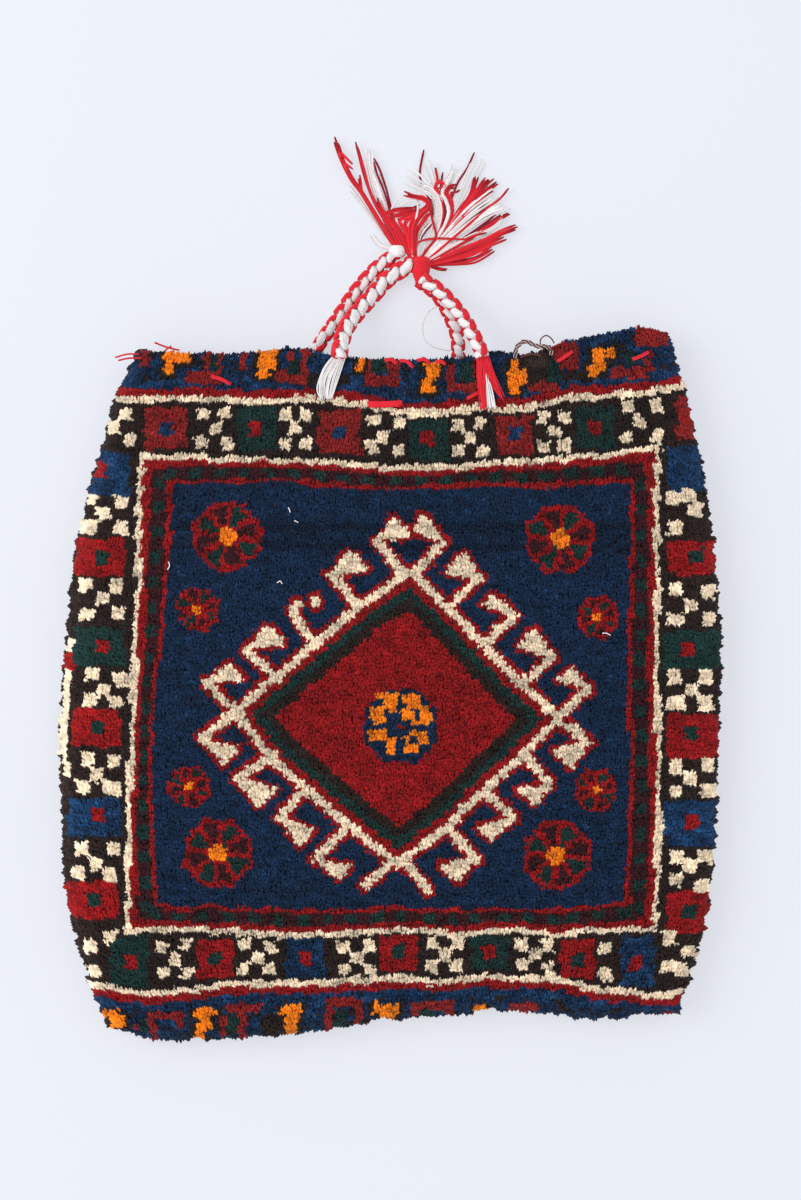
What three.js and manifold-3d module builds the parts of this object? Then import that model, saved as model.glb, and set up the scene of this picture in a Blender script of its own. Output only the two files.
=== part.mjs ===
// Hand-knotted feed bag with braided handles, lying on its back with its mouth towards +Y.
// Millimetres, +Z up. The origin is on the resting surface, under the middle of the bag.

import * as THREE from 'three';
import Module from 'manifold-3d';
import { mergeVertices } from 'three/addons/utils/BufferGeometryUtils.js';

const wasm = await Module();
wasm.setup();

const { lerp, smoothstep } = THREE.MathUtils;

// Bag body
const BAG_WIDTH = 383;
const BAG_LENGTH = 412;
const EDGE_THICKNESS = 26; // over the folded sides, from the resting surface to the pile tips
const BELLY_RISE = 8; // the middle of the front stands this far above the folded sides
const MOUTH_SAG = 5; // the middle of the mouth drops this far below the folded sides
const PILE_FABRIC = 9; // foundation and pile together
const FLAT_WEAVE = 3; // plain cloth of the back
const TUCK = 22; // pile fabric folded under the bag, measured in from the outline
const SEAM_WIDTH = 4; // overcast yarn that joins the tucked edge to the back
const BINDING = 3; // overcast roll along the mouth
const BACK_SETBACK = 6.5; // the mouth edge of the back lies this far inside that of the front

// Handles
const BRAID = 8.2;
const TAIL_THICKNESS = 2;
const KNOT_RADIUS = 7;
const KNOT_LENGTH = 19;
const WRAP_RADIUS = 5;
const WRAP_LENGTH = 9;
const KNOT_TURNS = 5;
const WRAP_TURNS = 4;
const YARN_RIDGE = 0.25; // each turn of yarn stands this far out of the knot
const TASSEL_NECK = 3.6;

// Loose yarns and stitches on the pile
const STITCH = 2;
const MENDING_THREAD = 1.8;

const GAP = 0.3; // between pieces that touch
const SURFACE_GAP = 0.45; // between a piece and the curved pile surface that it lies on
const BACK_LIFT = TAIL_THICKNESS + 2 * GAP; // the back rises over the handle ends sewn under its mouth

// How far the outline lies inside the BAG_WIDTH by BAG_LENGTH rectangle: [share of the edge, inset].
// The sides run from the base to the mouth, the base and the mouth from left to right.
const LEFT_INSET = [
  [0, 28], [0.09, 15], [0.19, 5], [0.3, 1.5], [0.42, 0], [0.57, 4], [0.69, 8.5], [0.78, 16],
  [0.93, 33.5], [1, 45],
];
const RIGHT_INSET = [
  [0, 24], [0.09, 14.5], [0.16, 7], [0.28, 3], [0.52, 0], [0.64, 2.5], [0.76, 8], [0.9, 19], [1, 30.5],
];
const BASE_INSET = [
  [0, 6.5], [0.07, 0.8], [0.16, 0], [0.27, 1.2], [0.37, 5], [0.48, 11], [0.58, 13], [0.67, 16.5],
  [0.76, 15], [0.85, 11.5], [0.93, 14], [1, 14],
];
const MOUTH_INSET = [
  [0, 13], [0.19, 13.9], [0.3, 11], [0.38, 16], [0.5, 17.4], [0.63, 16.5], [0.67, 13], [0.74, 14],
  [0.8, 8], [0.87, 3], [0.95, 0], [1, 3],
];

// The mouth sags from here to the edge, and the back lifts between the two other shares of the length.
const MOUTH_SAG_START = 0.72;
const BACK_LIFT_START = 0.83;
const BACK_LIFT_FULL = 0.9;

const wool = { roughness: 0.95, metalness: 0 };
const MATERIALS = {
  pile: new THREE.MeshStandardMaterial({ color: 0x4a1c22, ...wool }),
  flatWeave: new THREE.MeshStandardMaterial({ color: 0x5a2f2a, ...wool }),
  seam: new THREE.MeshStandardMaterial({ color: 0x3a2a28, ...wool }),
  white: new THREE.MeshStandardMaterial({ color: 0xebe8e1, roughness: 0.85, metalness: 0 }),
  red: new THREE.MeshStandardMaterial({ color: 0xd71e28, roughness: 0.85, metalness: 0 }),
  braid: new THREE.MeshStandardMaterial({ color: 0xe0857f, roughness: 0.85, metalness: 0 }),
  brown: new THREE.MeshStandardMaterial({ color: 0x5c3b36, ...wool }),
};

// Value at a place on the smooth curve through [place, value] points, level beyond its ends.
function smoothValue(points, anyPlace) {
  const last = points.length - 1;
  const place = THREE.MathUtils.clamp(anyPlace, points[0][0], points[last][0]);
  let i = 0;
  while (i < last - 1 && place > points[i + 1][0]) i += 1;
  const slope = (k) => {
    const a = points[Math.max(k - 1, 0)];
    const b = points[Math.min(k + 1, last)];
    return (b[1] - a[1]) / (b[0] - a[0]);
  };
  const [x0, y0] = points[i];
  const [x1, y1] = points[i + 1];
  const span = x1 - x0;
  const t = (place - x0) / span;
  const rise = y1 - y0;
  const bendStart = slope(i) * span - rise;
  const bendEnd = rise - slope(i + 1) * span;
  return lerp(y0, y1, t) + t * (1 - t) * (bendStart * (1 - t) + bendEnd * t);
}

const leftX = (v) => -BAG_WIDTH / 2 + smoothValue(LEFT_INSET, v);
const rightX = (v) => BAG_WIDTH / 2 - smoothValue(RIGHT_INSET, v);
const baseY = (u) => -BAG_LENGTH / 2 + smoothValue(BASE_INSET, u);
const mouthY = (u) => BAG_LENGTH / 2 - smoothValue(MOUTH_INSET, u);

// Place on the bag seen from above: u from left to right, v from base to mouth, both 0 to 1.
// The inset draws in the sides and the base.
function planPoint(u, v, inset = 0) {
  const x = lerp(leftX(v), rightX(v), u) + inset * (1 - 2 * u);
  const y = lerp(baseY(u), mouthY(u), v) + inset * Math.max(1 - v, 0);
  return new THREE.Vector2(x, y);
}

// Share of the length at a distance inside the mouth edge, or beyond it if negative.
const shareInside = (distance) => 1 - distance / BAG_LENGTH;

// Shares of an edge at which every outline is drawn, so that neighbours follow the same corners.
const EDGE_STEPS = 24;
const EDGE_SHARES = [...Array(EDGE_STEPS + 1).keys()].map((i) => i / EDGE_STEPS);

// The edge shares between two ends, with the ends themselves.
const sharesBetween = (from, to) => [from, ...EDGE_SHARES.filter((share) => share > from && share < to), to];

// The u and v of a place seen from above.
function sharesAt(x, y) {
  const rounds = 6;
  let u = 0.5;
  let v = 0.5;
  for (let i = 0; i < rounds; i += 1) {
    u = (x - leftX(v)) / (rightX(v) - leftX(v));
    v = (y - baseY(u)) / (mouthY(u) - baseY(u));
    u = THREE.MathUtils.clamp(u, 0, 1);
    v = THREE.MathUtils.clamp(v, 0, 1);
  }
  return [u, v];
}

// Height of the pile tips over the resting surface, away from the rounded sides.
function frontHeight(u, v) {
  const swell = 1 - (2 * u - 1) ** 4;
  const belly = BELLY_RISE * Math.sin(Math.PI * v);
  const sag = MOUTH_SAG * smoothstep(v, MOUTH_SAG_START, 1);
  return EDGE_THICKNESS + swell * (belly - sag);
}

const frontHeightAt = (x, y) => frontHeight(...sharesAt(x, y));
const backHeight = (v) => BACK_LIFT * smoothstep(v, BACK_LIFT_START, BACK_LIFT_FULL);

// Steps of the panels' surfaces over a rounded edge, across the bag and along it
const ROUND_STEPS = 4;
const ACROSS_STEPS = 24;
const ALONG_STEPS = 20;

// Shares of a length with close steps over its rounded start, and over its end if that is round too.
function stations(length, radius, plainSteps, bothEnds) {
  const round = [];
  for (let i = 0; i < ROUND_STEPS; i += 1) {
    round.push((radius * (1 - Math.cos((Math.PI / 2) * (i / ROUND_STEPS)))) / length);
  }
  const from = radius / length;
  const to = bothEnds ? 1 - from : 1;
  const plain = [];
  for (let i = 0; i <= plainSteps; i += 1) plain.push(lerp(from, to, i / plainSteps));
  const end = bothEnds ? round.map((share) => 1 - share).reverse() : [];
  return [...round, ...plain, ...end];
}

// Turns a geometry, or vertices with triangles, into a solid for joining and cutting.
function toSolid(geometry) {
  const bare = geometry.clone();
  bare.deleteAttribute('normal');
  bare.deleteAttribute('uv');
  const merged = mergeVertices(bare, 1e-4);
  const index = merged.index.array;
  const triangles = [];
  for (let i = 0; i < index.length; i += 3) {
    const [a, b, c] = index.slice(i, i + 3);
    if (a !== b && b !== c && c !== a) triangles.push(a, b, c);
  }
  const mesh = new wasm.Mesh({
    numProp: 3,
    vertProperties: new Float32Array(merged.attributes.position.array),
    triVerts: new Uint32Array(triangles),
  });
  return new wasm.Manifold(mesh);
}

function toGeometry(solid) {
  const mesh = solid.getMesh();
  const geometry = new THREE.BufferGeometry();
  geometry.setAttribute('position', new THREE.BufferAttribute(mesh.vertProperties, 3));
  geometry.setIndex(new THREE.BufferAttribute(mesh.triVerts, 1));
  return geometry;
}

function geometryFrom(vertices, triangles) {
  const geometry = new THREE.BufferGeometry().setFromPoints(vertices);
  geometry.setIndex(triangles);
  return geometry;
}

// Closed cushion in the bag's outline, round along the sides and the base and cut square at the mouth.
// The detail is a share of the full steps.
function cushion({ inset, roofDrop, floorRise, mouthShare, detail }) {
  const radius = (EDGE_THICKNESS - roofDrop - floorRise) / 2;
  const middle = floorRise + radius;
  const width = BAG_WIDTH - 2 * inset;
  const length = BAG_LENGTH - inset;
  const across = stations(width, radius, detail * ACROSS_STEPS, true);
  const along = stations(length, radius, detail * ALONG_STEPS, false).map((share) => share * mouthShare);
  const vertices = [];
  const fullness = (u, v) => {
    const depth = Math.min(u * width, (1 - u) * width, v * length, radius);
    return Math.sqrt(1 - (1 - depth / radius) ** 2);
  };
  const addSheet = (height) => {
    for (const v of along) {
      for (const u of across) {
        const { x, y } = planPoint(u, v, inset);
        vertices.push(new THREE.Vector3(x, y, lerp(middle, height(u, v), fullness(u, v))));
      }
    }
  };
  addSheet((u, v) => frontHeight(u, v) - roofDrop);
  addSheet((u, v) => backHeight(v) + floorRise);

  const columns = across.length;
  const sheet = columns * along.length;
  const triangles = [];
  for (let row = 0; row + 1 < along.length; row += 1) {
    for (let column = 0; column + 1 < columns; column += 1) {
      const a = row * columns + column;
      const [b, c, d] = [a + 1, a + columns + 1, a + columns];
      triangles.push(a, b, c, a, c, d);
      triangles.push(sheet + a, sheet + c, sheet + b, sheet + a, sheet + d, sheet + c);
    }
  }
  const mouthRow = (along.length - 1) * columns;
  for (let column = 0; column + 1 < columns; column += 1) {
    const a = mouthRow + column;
    triangles.push(a, a + 1, sheet + a + 1, a, sheet + a + 1, sheet + a);
  }
  return toSolid(geometryFrom(vertices, triangles));
}

// Plate in the bag's outline, from under the resting surface up to a height.
function plate(inset, mouthShare, height) {
  const below = 2;
  const along = sharesBetween(0, mouthShare);
  const outline = [
    ...EDGE_SHARES.map((u) => planPoint(u, 0, inset)),
    ...along.slice(1).map((v) => planPoint(1, v, inset)),
    ...EDGE_SHARES.slice(0, -1).reverse().map((u) => planPoint(u, mouthShare, inset)),
    ...along.slice(1, -1).reverse().map((v) => planPoint(0, v, inset)),
  ];
  const geometry = new THREE.ExtrudeGeometry(new THREE.Shape(outline), {
    depth: height + below,
    bevelEnabled: false,
  });
  geometry.translate(0, 0, -below);
  return toSolid(geometry);
}

// Closed solid through rings of equally many points, with flat ends.
function loft(rings) {
  const count = rings[0].length;
  const triangles = [];
  for (let ring = 0; ring + 1 < rings.length; ring += 1) {
    for (let i = 0; i < count; i += 1) {
      const a = ring * count + i;
      const b = ring * count + ((i + 1) % count);
      triangles.push(a, b, b + count, a, b + count, a + count);
    }
  }
  const end = (rings.length - 1) * count;
  for (let i = 1; i + 1 < count; i += 1) {
    triangles.push(0, i + 1, i, end, end + i, end + i + 1);
  }
  return geometryFrom(rings.flat(), triangles);
}

// Round cord along a curve through points.
function tube(points, diameter, sides, steps) {
  const section = new THREE.Shape();
  for (let i = 0; i < sides; i += 1) {
    const angle = (2 * Math.PI * i) / sides;
    const place = [(diameter / 2) * Math.cos(angle), (diameter / 2) * Math.sin(angle)];
    if (i === 0) section.moveTo(...place);
    else section.lineTo(...place);
  }
  const extrudePath = new THREE.CatmullRomCurve3(points);
  return new THREE.ExtrudeGeometry(section, { steps, extrudePath, bevelEnabled: false });
}

const bag = new THREE.Group();

function addPiece(name, geometry, material) {
  const mesh = new THREE.Mesh(geometry, material);
  mesh.name = name;
  bag.add(mesh);
  return mesh;
}

const BACK_INSET = TUCK + SEAM_WIDTH + 2 * GAP;

// Front and back panels: one hollow shell, parted along the seam under the bag
function addPanels() {
  const edgeTrim = BINDING + GAP;
  const outside = cushion({
    inset: 0, roofDrop: 0, floorRise: 0, mouthShare: shareInside(edgeTrim), detail: 1,
  });
  const beyondMouth = shareInside(-BINDING);
  const hollow = cushion({
    inset: PILE_FABRIC, roofDrop: PILE_FABRIC, floorRise: FLAT_WEAVE, mouthShare: beyondMouth, detail: 0.5,
  });
  const shell = outside.subtract(hollow);
  const cutHeight = FLAT_WEAVE + BACK_LIFT + 2 * GAP;
  const front = shell.subtract(plate(TUCK, beyondMouth, cutHeight));
  const back = shell.intersect(plate(BACK_INSET, shareInside(edgeTrim + BACK_SETBACK), cutHeight));
  addPiece('front_panel', toGeometry(front), MATERIALS.pile);
  addPiece('back_panel', toGeometry(back), MATERIALS.flatWeave);
}

// Seams: strips of overcast yarn in the band between the tucked edge and the back
function seamStrip(shares, placeOf) {
  const thickness = FLAT_WEAVE - GAP;
  const outer = TUCK + GAP;
  const inner = outer + SEAM_WIDTH;
  const rings = shares.map((share) => {
    const [u, v] = placeOf(share);
    const a = planPoint(u, v, outer);
    const b = planPoint(u, v, inner);
    const low = backHeight(v);
    return [
      new THREE.Vector3(a.x, a.y, low),
      new THREE.Vector3(b.x, b.y, low),
      new THREE.Vector3(b.x, b.y, low + thickness),
      new THREE.Vector3(a.x, a.y, low + thickness),
    ];
  });
  return loft(rings);
}

function addSeams() {
  const mitre = (4 * GAP) / BAG_LENGTH;
  const sides = sharesBetween(mitre, shareInside(BINDING + BACK_SETBACK));
  const base = sharesBetween(mitre, 1 - mitre);
  addPiece('left_side_seam', seamStrip([...sides].reverse(), (v) => [0, v]), MATERIALS.seam);
  addPiece('right_side_seam', seamStrip(sides, (v) => [1, v]), MATERIALS.seam);
  addPiece('base_seam', seamStrip(base, (u) => [u, 0]), MATERIALS.seam);
}

// Mouth bindings: a roll of overcast yarn along each mouth edge, over the corners that the edge has
function mouthBinding(shares, inset, inside, heightOf) {
  const sides = 8;
  const rings = shares.map((u) => {
    const { x, y } = planPoint(u, shareInside(inside + BINDING / 2), inset);
    const ring = [];
    for (let i = 0; i < sides; i += 1) {
      const angle = (2 * Math.PI * i) / sides;
      const forward = (BINDING / 2) * Math.cos(angle);
      const up = (BINDING / 2) * Math.sin(angle);
      ring.push(new THREE.Vector3(x, y + forward, heightOf(u) + up));
    }
    return ring;
  });
  return loft(rings);
}

function addBindings() {
  const besideFold = ROUND_STEPS;
  const front = stations(BAG_WIDTH, EDGE_THICKNESS / 2, ACROSS_STEPS, true).slice(besideFold, -besideFold);
  const back = EDGE_SHARES.slice(1, -1);
  const foundation = (u) => frontHeight(u, 1) - PILE_FABRIC + BINDING / 2;
  const cloth = () => backHeight(1) + FLAT_WEAVE / 2;
  addPiece('front_mouth_binding', mouthBinding(front, 0, 0, foundation), MATERIALS.seam);
  addPiece('back_mouth_binding', mouthBinding(back, BACK_INSET, BACK_SETBACK, cloth), MATERIALS.seam);
}

// Places near the mouth: x across the bag, y out from the middle of the mouth, z over the resting surface
const MOUTH_MIDDLE = mouthY(0.5);
const atMouth = ([x, y, z]) => new THREE.Vector3(x, MOUTH_MIDDLE + y, z);

// Height of a piece of a thickness that lies on the pile
const onPile = (x, y, thickness) => frontHeightAt(x, MOUTH_MIDDLE + y) + SURFACE_GAP + thickness / 2;

// Braid routes from the mouth to the knots. The height is a share: 1 on the pile, 0 on the resting surface.
const FRONT_LEFT_ROUTE = [
  [-29.3, -0.5, 1], [-29, 3.4, 0.99], [-28.4, 7.4, 0.93], [-27.3, 11.5, 0.82], [-26.1, 15.6, 0.69],
  [-24.4, 19, 0.55], [-22, 22.5, 0.42], [-19.7, 25.7, 0.31], [-16.8, 29.2, 0.21], [-13.9, 32.7, 0.13],
  [-11, 35.9, 0.08], [-7.5, 39.9, 0.05], [-4.1, 44, 0.05], [0, 47.5, 0.06], [4.1, 50.4, 0.09],
  [9, 53.2, 0.12],
];
const FRONT_RIGHT_ROUTE = [
  [53.4, 0, 1], [52.8, 2, 0.99], [52.2, 4, 0.98], [50.8, 8, 0.93], [48.7, 12.1, 0.86], [46.7, 16.1, 0.78],
  [44.4, 20.2, 0.7],
  [41.8, 24, 0.63], [39.2, 27.7, 0.57], [36.3, 31.2, 0.53], [33.4, 34.4, 0.5], [30.2, 37.6, 0.47],
  [27.6, 40, 0.44], [25.2, 41.9, 0.42], [22.8, 43.4, 0.4],
];
const BACK_LEFT_ROUTE = [
  [-43, 4.4, 0], [-42.4, 6, 0], [-41.4, 8.2, 0], [-39.4, 11.2, 0], [-36.8, 15, 0], [-34.2, 18.7, 0],
  [-31.6, 22.5, 0], [-29, 26.6, 0], [-26.4, 30.6, 0], [-23.8, 34.7, 0], [-20.9, 38.7, 0], [-17.7, 42.8, 0],
  [-14.2, 46.9, 0], [-10.4, 50.9, 0], [-6.4, 54.4, 0], [-0.2, 58.8, 0.02],
];
const BACK_RIGHT_ROUTE = [
  [39.7, -3, 0], [39.7, 0.5, 0], [39.7, 4.5, 0], [39.6, 8.6, 0], [39.2, 12.4, 0], [38.3, 16.1, 0],
  [37.1, 19.6, 0], [35.7, 23.1, 0], [34, 26.6, 0], [32.5, 29.8, 0], [30.7, 32.7, 0], [29, 35.3, 0],
  [27, 37.6, 0], [24.7, 39.8, 0], [20.6, 42.7, 0],
];

// Braids: plain round cords along their routes
function braidPath(route) {
  const [startX, startY] = route[0];
  const high = onPile(startX, startY, BRAID);
  const low = GAP + BRAID / 2;
  return route.map(([x, y, share]) => atMouth([x, y, lerp(low, high, share)]));
}

function addBraids() {
  const braids = {
    front_left_braid: FRONT_LEFT_ROUTE,
    front_right_braid: FRONT_RIGHT_ROUTE,
    back_left_braid: BACK_LEFT_ROUTE,
    back_right_braid: BACK_RIGHT_ROUTE,
  };
  const sides = 10;
  const steps = 10;
  for (const [name, route] of Object.entries(braids)) {
    addPiece(name, tube(braidPath(route), BRAID, sides, steps), MATERIALS.braid);
  }
}

// Tails: yarns of a braid spread flat on the cloth and sewn down. Each strand runs through stations of
// [x, y, width], with x and y from the end of its braid.
const FRONT_LEFT_STRANDS = [
  [[0, 0, 8], [-3.5, -5, 10.5], [-6.3, -12, 11.5], [-7.6, -18, 11], [-8, -23.5, 8]],
];
const FRONT_RIGHT_STRANDS = [
  [[0, 0, 7], [-0.8, -9, 5.2], [-0.2, -18, 5], [0.8, -30, 4]],
  [[1, -0.2, 6], [4.4, -9, 5.2], [8, -17, 4.6], [11.5, -24, 3.2]],
  [[1.4, -0.4, 3], [2.6, -10, 2.2], [4, -20, 4], [5.4, -29.5, 5]],
];
const BACK_STRANDS = [
  [[0, 0, 8], [0, -13, 12], [0, -26, 9]],
];

// Section corners of a strand as [share of its half width, share of its thickness]
const STRAND_SECTION = [[-1, 0.3], [-0.6, 0], [0.6, 0], [1, 0.3], [0.6, 1], [-0.6, 1]];

function tailStrand(strand, [startX, startY], lowOf) {
  const rings = strand.map(([x, y, width]) => {
    const low = lowOf(startX + x, startY + y);
    return STRAND_SECTION.map(([across, up]) => {
      const cornerX = startX + x + (across * width) / 2;
      return atMouth([cornerX, startY + y, low + up * TAIL_THICKNESS]);
    });
  });
  return loft(rings);
}

// A tail starts clear of its braid, whose square-cut end leans back on one side.
function tailStart([[x, y], [nextX, nextY]]) {
  const lean = Math.abs(nextX - x) / Math.hypot(nextX - x, nextY - y);
  return [x, y - (lean * BRAID) / 2 - 2 * GAP];
}

function addTails() {
  const onFront = (x, y) => frontHeightAt(x, MOUTH_MIDDLE + y) + SURFACE_GAP;
  const underBack = () => GAP / 2;
  const tails = [
    ['front_left_tail', FRONT_LEFT_ROUTE, FRONT_LEFT_STRANDS, onFront, MATERIALS.white],
    ['front_right_tail', FRONT_RIGHT_ROUTE, FRONT_RIGHT_STRANDS, onFront, MATERIALS.red],
    ['back_left_tail', BACK_LEFT_ROUTE, BACK_STRANDS, underBack, MATERIALS.white],
    ['back_right_tail', BACK_RIGHT_ROUTE, BACK_STRANDS, underBack, MATERIALS.white],
  ];
  for (const [name, route, strands, lowOf, material] of tails) {
    const start = tailStart(route);
    const solids = strands.map((strand) => toSolid(tailStrand(strand, start, lowOf)));
    addPiece(name, toGeometry(solids.reduce((whole, strand) => whole.add(strand))), material);
  }
}

// Knot and wrap: turns of yarn round the gathered braid ends, barrel-shaped along the way to the tassel
function barrel(radius, length, turns) {
  const sides = 16;
  const stepsPerTurn = 4;
  const steps = stepsPerTurn * turns;
  const profile = [];
  for (let i = 0; i <= steps; i += 1) {
    const along = (2 * i) / steps - 1;
    const round = Math.sqrt(Math.max(1 - along ** 2, 0));
    const onCrest = i % stepsPerTurn === stepsPerTurn / 2;
    const reach = onCrest ? radius : radius - YARN_RIDGE;
    profile.push(new THREE.Vector2(round * reach, (along * length) / 2));
  }
  return toGeometry(toSolid(new THREE.LatheGeometry(profile, sides)));
}

const KNOT_PLACE = [18, 53.3, KNOT_RADIUS + GAP];
const WRAP_PLACE = [3.4, 62.6, WRAP_RADIUS + GAP];

function addKnots() {
  const knot = addPiece('red_knot', barrel(KNOT_RADIUS, KNOT_LENGTH, KNOT_TURNS), MATERIALS.red);
  knot.position.copy(atMouth(KNOT_PLACE));
  const wrap = addPiece('white_wrap', barrel(WRAP_RADIUS, WRAP_LENGTH, WRAP_TURNS), MATERIALS.white);
  wrap.position.copy(atMouth(WRAP_PLACE));
}

// Tassels: locks of loose yarn that spread from a neck, each as
// [mid x, mid y, tip x, tip y, thickness, lift over the resting surface]
const LEFT_LOCKS = [
  [-10.4, 93.5, -30.5, 125.5, 4.4, 0], [-5, 94.5, -19, 123.5, 3.6, 0], [-0.8, 89, -8.5, 117, 3.6, 0],
  [-4.5, 74.5, -11.5, 83, 3, 0],
];
const RIGHT_LOCKS = [
  [9, 79, -1.5, 84, 4, 6.5], [19.7, 91.5, 19, 117.5, 2.6, 0.4], [26.2, 89, 29, 109, 4, 0],
  [34.8, 94.5, 48, 118.5, 3, 0], [38.9, 87, 57, 103.5, 4.4, 0], [43, 81, 68, 98.5, 4.4, 0],
  [44, 75.5, 69.6, 84, 4.4, 0], [46.4, 65, 72, 75.5, 4.8, 0], [27.5, 57, 33, 53, 3, 0],
];

function tassel(neckPlace, locks) {
  const sides = 8;
  const steps = 5;
  const [neckX, neckY, neckZ] = neckPlace;
  const ball = new THREE.SphereGeometry(TASSEL_NECK, 12, 8);
  ball.translate(...atMouth(neckPlace).toArray());
  const solids = locks.map(([midX, midY, tipX, tipY, thickness, lift]) => {
    const low = GAP + thickness / 2 + lift;
    const route = [
      [neckX, neckY, neckZ],
      [lerp(neckX, midX, 0.45), lerp(neckY, midY, 0.45), lerp(neckZ, low, 0.5)],
      [midX, midY, low],
      [tipX, tipY, low],
    ];
    return toSolid(tube(route.map(atMouth), thickness, sides, steps));
  });
  return toGeometry(solids.reduce((whole, lock) => whole.add(lock), toSolid(ball)));
}

function addTassels() {
  const neckOf = ([x, y, z], length) => [x, y + length / 2 + GAP + TASSEL_NECK, z];
  addPiece('left_tassel', tassel(neckOf(WRAP_PLACE, WRAP_LENGTH), LEFT_LOCKS), MATERIALS.white);
  addPiece('right_tassel', tassel(neckOf(KNOT_PLACE, KNOT_LENGTH), RIGHT_LOCKS), MATERIALS.red);
}

// Stitches: short ends of red yarn that lie on the pile, each as [from x, from y, to x, to y, thickness]
const STITCHES = {
  long_stitch: [-12.8, -27.4, 7, -26.8, 1.8 * STITCH],
  left_stitch: [-103.2, -11.1, -93.4, -15.2, STITCH],
  tail_stitch: [43, -24.2, 48.6, -21, STITCH],
  mouth_stitch_1: [0.5, -4.8, 11.5, -7.5, STITCH],
  mouth_stitch_2: [17.4, -5, 23.2, -6.5, STITCH],
  right_stitch_1: [97.4, -2.4, 105.6, 3, STITCH],
  right_stitch_2: [140.4, -1.3, 149.6, 2.8, STITCH],
};

function addStitches() {
  const steps = 4;
  const sides = 8;
  for (const [name, [fromX, fromY, toX, toY, thickness]] of Object.entries(STITCHES)) {
    const points = [];
    for (let i = 0; i <= steps; i += 1) {
      const x = lerp(fromX, toX, i / steps);
      const y = lerp(fromY, toY, i / steps);
      points.push(atMouth([x, y, onPile(x, y, thickness)]));
    }
    addPiece(name, tube(points, thickness, sides, steps), MATERIALS.red);
  }
}

// Mending thread: a loop of twisted thread that stands out over the worn part of the mouth.
// The third number is the height over the pile.
const MENDING_ROUTE = [
  [72.5, -1, 0], [72.4, 1.2, 0], [72.5, 3.4, 0], [73.1, 5.3, -0.3], [74.2, 6.9, -0.8], [75.7, 8.3, -1.3],
  [77.7, 9.2, -1.6], [79.8, 9, -1.4], [81.8, 8, -1], [83.8, 7, -0.4], [85.8, 6.3, 0], [88, 6.2, 0],
  [89.9, 6.3, 0], [91.6, 5.6, 0], [92.8, 4.5, 0], [93.4, 2.8, 0], [93.4, 1, 0],
];

function addMendingThread() {
  const sides = 8;
  const steps = 14;
  const points = MENDING_ROUTE.map(([x, y, lift]) => atMouth([x, y, onPile(x, y, MENDING_THREAD) + lift]));
  addPiece('mending_thread', tube(points, MENDING_THREAD, sides, steps), MATERIALS.brown);
}

addPanels();
addSeams();
addBindings();
addBraids();
addTails();
addKnots();
addTassels();
addStitches();
addMendingThread();

export default bag;
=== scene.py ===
"""Looks of a hand-knotted feed bag that lies on its back with its handles tied, seen from straight above.

Lengths are in millimetres and turn into metres when a mesh is made. Places of the woven design are
pixels of the 801 by 1200 photo frame.
"""

import math

import bmesh
import bpy
import numpy as np
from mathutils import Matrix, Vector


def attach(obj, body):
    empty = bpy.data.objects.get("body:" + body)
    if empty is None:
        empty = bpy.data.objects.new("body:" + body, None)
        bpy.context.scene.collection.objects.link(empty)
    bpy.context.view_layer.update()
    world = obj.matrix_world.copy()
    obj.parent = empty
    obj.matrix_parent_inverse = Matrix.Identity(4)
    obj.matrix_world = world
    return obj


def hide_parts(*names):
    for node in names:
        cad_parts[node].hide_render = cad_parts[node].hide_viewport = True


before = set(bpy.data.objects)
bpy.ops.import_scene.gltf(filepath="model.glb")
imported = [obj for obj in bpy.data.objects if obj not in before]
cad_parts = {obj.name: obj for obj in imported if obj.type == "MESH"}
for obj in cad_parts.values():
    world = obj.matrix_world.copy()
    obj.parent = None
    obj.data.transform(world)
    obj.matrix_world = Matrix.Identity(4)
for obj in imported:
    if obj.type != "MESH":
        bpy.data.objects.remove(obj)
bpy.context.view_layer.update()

MM = 0.001
random = np.random.default_rng(11)

# Photo frame
PHOTO_WIDTH = 801
PHOTO_HEIGHT = 1200
PIXEL = 0.58  # millimetres on the bag to one pixel
ORIGIN_X = 390
ORIGIN_Y = 683
FOCUS_HEIGHT = 16  # height over the floor at which the photo's scale holds
CAMERA_DISTANCE = 2400

# Bag shape, as the solids have it
BAG_WIDTH = 383
BAG_LENGTH = 412
EDGE_THICKNESS = 26
EDGE_RADIUS = EDGE_THICKNESS / 2
BELLY_RISE = 8
MOUTH_SAG = 5
MOUTH_SAG_START = 0.72
FLAT_WEAVE = 3
TUCK = 22
SEAM_WIDTH = 4
GAP = 0.3  # between pieces that lie side by side
BACK_INSET = TUCK + SEAM_WIDTH + 2 * GAP
BACK_SETBACK = 6.5
BACK_LIFT = 2.6
BACK_LIFT_START = 0.83
BACK_LIFT_FULL = 0.9
# Insets of its four edges, as (share along the edge, inset)
LEFT_INSET = [
    (0, 28), (0.09, 15), (0.19, 5), (0.3, 1.5), (0.42, 0), (0.57, 4), (0.69, 8.5), (0.78, 16),
    (0.93, 33.5), (1, 45),
]
RIGHT_INSET = [
    (0, 24), (0.09, 14.5), (0.16, 7), (0.28, 3), (0.52, 0), (0.64, 2.5), (0.76, 8), (0.9, 19), (1, 30.5),
]
BASE_INSET = [
    (0, 6.5), (0.07, 0.8), (0.16, 0), (0.27, 1.2), (0.37, 5), (0.48, 11), (0.58, 13), (0.67, 16.5),
    (0.76, 15), (0.85, 11.5), (0.93, 14), (1, 14),
]
MOUTH_INSET = [
    (0, 13), (0.19, 13.9), (0.3, 11), (0.38, 16), (0.5, 17.4), (0.63, 16.5), (0.67, 13), (0.74, 14),
    (0.8, 8), (0.87, 3), (0.95, 0), (1, 3),
]

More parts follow.
